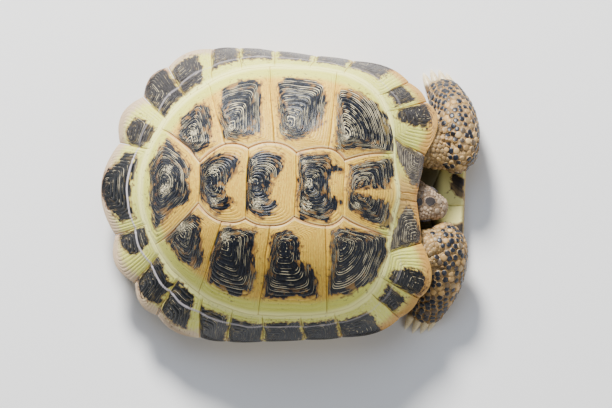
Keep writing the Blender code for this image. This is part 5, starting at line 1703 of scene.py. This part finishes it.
class TORTOISE_OT_dome_scutes(bpy.types.Operator):
    """Grow the vertebral and costal scutes in rings from their areolae"""

    bl_idname = "tortoise.dome_scutes"
    bl_label = "Dome scutes"

    def execute(self, context):
        borders, spine = dome_borders()
        look = {
            "surface": carapace, "out": 1, "columns": 176, "rise": 0.95, "sink": 0.12, "line": 0,
            "finish": material("keratin_scute_dome", horn_of_dome), "slot": "dome_scute",
            "under": (1, 0.5), "size": (1, 1),
            "depth": lambda chart: np.full(chart.shape[:-1], PLATE_THICKNESS - 0.6),
            "rings": context.scene.tortoise_shell.rings, "spine": spine, "faded": 0,
        }
        for seed, (name, border) in enumerate(borders.items(), 1):
            areola, worn, *blotches = DOME_SCUTES[name]
            # Right-side scutes get fewer cream lines and so more dark: painted shade on that side.
            here = {**look, "worn": worn, "lit": DOME_LIT.get(name, 0 if "left" in name else -0.12)}
            scute(name, areola, border, settled, here, blotches, seed)
        return {"FINISHED"}


class TORTOISE_OT_rim_scutes(bpy.types.Operator):
    """Grow the nuchal, the marginals and the supracaudal"""

    bl_idname = "tortoise.rim_scutes"
    bl_label = "Rim scutes"

    def execute(self, context):
        look = {
            "surface": carapace, "out": 1, "columns": 108, "rise": 0.4, "sink": 0.1, "line": 0,
            "finish": material("keratin_scute_marginal", horn_of_rim), "slot": "marginal_scute",
            "under": (1, 0.8, 0.55, 0.3),
            "depth": carapace_depth, "rings": 9, "worn": (), "faded": 0, "lit": -0.25,
        }
        seams = MARGINAL_SEAMS
        for number, (first, last) in enumerate(zip(seams, seams[1:])):
            width = math.radians(abs(last[0] - first[0])) * (first[1] + last[1]) / 2
            for side, word in SIDES:
                # The right marginals get fewer cream lines than the left: painted shade on that side.
                here = {**look, "size": (width, MARGINAL_BAND), "line": RIM_LINES[word][number],
                        "faded": RIM_FADING_AND_SHEEN[word][number], "lit": 0.3 if number == 0 else -0.33 + 0.08 * side}
                chart_of = rim_chart(first, last, side)
                scute(f"marginal_{word}_{number + 1}", RIM_AREOLA, SQUARE_BORDER, chart_of, here,
                      (RIM_BLOTCHES[word][number],), 20 + number * 2 + (side > 0), turn_over=side > 0)
        first, last = seams[0], seams[-1]
        across = (-first[0], first[1], first[2], -first[3])
        beyond = (360 - last[0], last[1], last[2], 360 - last[3])
        here = {**look, "size": (4, MARGINAL_BAND), "rise": 0, "columns": 60}
        scute("nuchal", (0.5, 0.5), SQUARE_BORDER, rim_chart(across, first, 1), here, (), 50, True)
        here = {**look, "size": (46, MARGINAL_BAND), "columns": 150, "line": 0.9, "rings": 11, "lit": -0.4}
        scute("supracaudal", TAIL_AREOLA, SQUARE_BORDER, rim_chart(last, beyond, 1), here,
              TAIL_BLOTCHES, 51, True)
        return {"FINISHED"}


class TORTOISE_OT_belly_scutes(bpy.types.Operator):
    """Grow the six pairs of plastral scutes, worn smooth underneath"""

    bl_idname = "tortoise.belly_scutes"
    bl_label = "Belly scutes"

    def execute(self, context):
        look = {
            "surface": plastron, "out": -1, "columns": 96, "rise": 0, "sink": 0.2, "line": 0,
            "finish": material("keratin_scute_plastron", horn_of_plastron), "slot": "plastron_scute",
            "under": (1, 0.8, 0.6, 0.4, 0.2),
            "depth": lambda chart: np.full(chart.shape[:-1], PLASTRON_THICKNESS),
            "rings": 7, "worn": (), "faded": 0, "lit": -0.1,
        }
        for seed, (name, (front, rear, bow)) in enumerate(PLASTRON_SCUTES.items(), 60):
            size = (abs(front[0][0] - rear[0][0]), max(front[-1][1], rear[-1][1]))
            for side, word in SIDES:
                here = {**look, "size": size, "inner": ((5, 5), (6, 5), (6, 6))}
                if name == "gular":
                    here["inner"] = LIP_BLOTCHES[word]
                scute(f"{name}_{word}", (0.62, 0.55), SQUARE_BORDER, belly_chart(front, rear, bow, side),
                      here, (BELLY_BLOTCH,), seed * 2 + (side > 0), turn_over=side < 0)
        return {"FINISHED"}


class TORTOISE_OT_skin(bpy.types.Operator):
    """Grow one skin over trunk, neck, head, limbs and tail"""

    bl_idname = "tortoise.skin"
    bl_label = "Skin"

    def execute(self, context):
        points, quads = body_mesh(context.scene.tortoise_skin.voxel / MM)
        points, triangles = lids(points, quads)
        head, facts = head_mesh()
        facts["head"] = np.ones(len(head[0]))
        facts = {label: np.append(np.zeros(len(points)), values) for label, values in facts.items()}
        whole = stacked(((points, quads, triangles), head))
        finish = material("dry_reptile_skin", reptile_skin)
        add_piece("skin", *whole, finish, FLESH_NODES, "skin", **facts)
        return {"FINISHED"}


class TORTOISE_OT_scales(bpy.types.Operator):
    """Grow the raised horny scales on the limbs, the tail, the neck and the head"""

    bl_idname = "tortoise.scales"
    bl_label = "Scales"

    def execute(self, context):
        mesh = bpy.data.objects["skin"].data
        points = read(mesh.vertices, "co", 3).astype(float) / MM - SHIFT
        faces = [tuple(face.vertices) for face in mesh.polygons]
        tree = BVHTree.FromPolygons([tuple(p) for p in points], faces)
        # The unwrap is a grid of tiles, one for each limb: its length to the right, its round upwards.
        tiles = {name: (0.02 + 0.25 * (k % 4), 0.02 + 0.33 * (k // 4), 0.2, 0.29)
                 for k, name in enumerate((*limbs(), "head"))}
        sites = {name: limb_sites(name, stations, tiles[name]) for name, stations in limbs().items()}
        coats = {
            "scales_foreleg_left": ("upper_arm_left", "forearm_left"),
            "scales_foreleg_right": ("upper_arm_right", "forearm_right"),
            "scales_hindlegs": ("thigh_left", "shank_left", "thigh_right", "shank_right"),
            "scales_tail": ("tail",),
            "scales_neck": ("neck",),
        }
        for name, parts in coats.items():
            self.coat(name, np.vstack([sites[part] for part in parts]), tree)
        self.coat("scales_head", head_sites(tiles["head"]), tree, True)
        return {"FINISHED"}

    def coat(self, name, sites, tree, head=False):
        """One piece of scales, with its patches on the unwrap."""
        points, quads, triangles, patch, facts = grown_scales(sites, tree, head)
        made = add_piece(name, points, quads, triangles, material("keratin_scale", scale_horn), **facts)
        corners = read(made.data.loops, "vertex_index", 1, np.int32)[:, 0]
        spread_out = made.data.uv_layers.new(name="OFBake")
        spread_out.data.foreach_set("uv", patch.reshape(-1, 2)[corners].astype(np.float32).ravel())


class TORTOISE_OT_eyes(bpy.types.Operator):
    """Set a wet dark eyeball in each socket"""

    bl_idname = "tortoise.eyes"
    bl_label = "Eyes"

    def execute(self, context):
        ahead, across, up = head_axes()
        for side, word in SIDES:
            centre = in_shell_frame(np.array(EYE_AT) * (1, side, 1))
            axis = unit(across * side * 0.95 + ahead * 0.28 + up * 0.12)
            one = unit(np.cross(axis, up))
            two = np.cross(axis, one)
            tilt = np.radians(np.linspace(3, 177, 59))[:, None, None]
            ball = axis * np.cos(tilt) + np.sin(tilt) * (compass(circle(72)) @ (one, two))
            rings, pole = centre + ball * EYE_RADIUS, axis * EYE_RADIUS
            points, quads, triangles = closed_rings(rings, centre + pole, centre - pole)
            away = np.degrees(np.arccos(np.clip((points - centre) @ axis / EYE_RADIUS, -1, 1)))
            spoke = np.arctan2((points - centre) @ two, (points - centre) @ one)
            add_piece(f"eyeball_{word}", points, quads, triangles, material("wet_eyeball", wet_eye),
                      (f"eye_{word}",), "eye", away=away, spoke=np.sin(spoke * 9) * 0.5 + 0.5)
        return {"FINISHED"}


def claw_mesh(base, direction, length, thickness=1):
    """A curved cone: rings that narrow along a line that bends down, a little flatter than round."""
    direction = unit(direction)
    across, up = level(direction)
    share = np.linspace(-0.3, 0.985, 16)[:, None, None]
    turn = circle(18)[None, :, None]
    radius = thickness * CLAW_RADIUS * 0.96 * np.clip(1 - np.clip(share, 0, 1) ** 1.7, 0, 1) ** 0.75
    middle = np.array(base) + direction * length * 0.98 * share - up * 1.2 * np.clip(share, 0, 1) ** 2
    rings = middle + radius * (np.cos(turn) * across + 0.82 * np.sin(turn) * up)
    tip = np.array(base) + direction * length * 0.99 - up * 1.2
    back = np.array(base) - direction * length * 0.3
    tipward = np.concatenate(([-0.3], np.repeat(share.ravel(), 18), [1]))
    return closed_rings(rings, back, tip, True), tipward


class TORTOISE_OT_claws(bpy.types.Operator):
    """Set four curved claws on each foot"""

    bl_idname = "tortoise.claws"
    bl_label = "Claws"

    def execute(self, context):
        for side, word in SIDES:
            shift = RIGHT_ARM_SHIFT if side < 0 else (0, 0, 0)
            feet = (
                ("fore", mirrored(FORE_CLAWS, side, shift), FORE_CLAW_DIRECTION, FORE_CLAW_LENGTH, 1.2),
                ("hind", mirrored(HIND_CLAWS, side), HIND_CLAW_DIRECTION, HIND_CLAW_LENGTH, 1),
            )
            for foot, bases, direction, length, thickness in feet:
                direction = np.array(direction) * (1, side, 1)
                made = [claw_mesh(base, direction, length, thickness) for base in bases]
                points, quads, triangles = stacked([one for one, _ in made])
                points[:, 2] = np.maximum(points[:, 2], 0.05)
                tipward = np.concatenate([t for _, t in made])
                add_piece(f"claws_{foot}_{word}", points, quads, triangles,
                          material("keratin_claw", claw_horn), tipward=tipward)
        return {"FINISHED"}


class TORTOISE_OT_stage(bpy.types.Operator):
    """Set the camera, the soft lights and the pale floor"""

    bl_idname = "tortoise.stage"
    bl_label = "Stage"

    def execute(self, context):
        stage = context.scene.tortoise_stage
        mesh = bpy.data.meshes.new("floor")
        reach = 1.5
        mesh.from_pydata([(-reach, -reach, 0), (reach, -reach, 0), (reach, reach, 0), (-reach, reach, 0)],
                         [], [(0, 1, 2, 3)])
        mesh.materials.append(material("matt_paint_floor", matt_floor))
        placed("floor", mesh)

        lens = bpy.data.cameras.new("camera")
        lens.lens, lens.sensor_width = stage.lens, 36
        camera = placed("camera", lens)
        context.scene.camera = camera
        turn, rise = stage.azimuth, stage.elevation
        back = Vector((math.sin(turn) * math.cos(rise), -math.cos(turn) * math.cos(rise), math.sin(rise)))
        right = Vector((math.cos(turn), math.sin(turn), 0))
        middle = Vector((SHIFT + CAMERA_CENTRE) * MM)
        distance = stage.view_width * stage.lens / lens.sensor_width
        turned = Matrix((right, back.cross(right), back)).transposed().to_4x4()
        camera.matrix_world = Matrix.Translation(middle + back * distance) @ turned
        lens.clip_start, lens.clip_end = 0.01, 20

        for name, place, size, power in (
            ("key", (-0.3, 0.98, 0.86), 0.34, stage.key_power),
            ("side", (0.75, -0.6, 0.7), 0.9, stage.key_power * 0.06),
            ("sky", (-0.15, 0.45, 1.25), 0.9, stage.key_power * 0.13),
        ):
            light = bpy.data.lights.new(name, "AREA")
            light.shape, light.size, light.energy = "DISK", size, power
            if name == "sky":
                # Its broad cool reflection is the sheen on the dark horn.
                light.color = colour("#cfe0fb")[:3]
            lamp = placed(name, light)
            lamp.location = place
            lamp.rotation_mode = "QUATERNION"
            lamp.rotation_quaternion = Vector(place).to_track_quat("Z", "Y")
        world = bpy.data.worlds.new("studio")
        world.use_nodes = True
        tree = world.node_tree
        fill(tree, tree.nodes["Background"], {"Color": "#e9ecf2", "Strength": stage.fill_strength})
        context.scene.world = world
        return {"FINISHED"}


STEPS = (TORTOISE_OT_stage, TORTOISE_OT_skin, TORTOISE_OT_scales, TORTOISE_OT_eyes, TORTOISE_OT_claws,
         TORTOISE_OT_dome_scutes, TORTOISE_OT_rim_scutes, TORTOISE_OT_belly_scutes)


class TORTOISE_PT_pieces(bpy.types.Panel):
    """The pieces of the tortoise and their settings"""

    bl_idname = "TORTOISE_PT_pieces"
    bl_label = "Tortoise"
    bl_space_type = "VIEW_3D"
    bl_region_type = "UI"
    bl_category = "Tortoise"

    def draw(self, context):
        layout = self.layout
        for kind in STEPS:
            layout.operator(kind.bl_idname)
        for group in SETTINGS:
            settings = getattr(context.scene, group)
            for label in settings.bl_rna.properties.keys():
                if label not in ("rna_type", "name"):
                    layout.prop(settings, label)


SETTINGS = {
    "tortoise_shell": TortoiseShellSettings,
    "tortoise_skin": TortoiseSkinSettings,
    "tortoise_stage": TortoiseStageSettings,
}
CLASSES = (*SETTINGS.values(), *STEPS, TORTOISE_PT_pieces)


def register():
    for kind in CLASSES:
        bpy.utils.register_class(kind)
    for label, kind in SETTINGS.items():
        setattr(bpy.types.Scene, label, PointerProperty(type=kind))


def unregister():
    for label in SETTINGS:
        delattr(bpy.types.Scene, label)
    for kind in reversed(CLASSES):
        bpy.utils.unregister_class(kind)


def main():
    """Make every piece."""
    register()
    for kind in STEPS:
        group, action = kind.bl_idname.split(".")
        getattr(getattr(bpy.ops, group), action)()


if __name__ == "__main__":
    main()
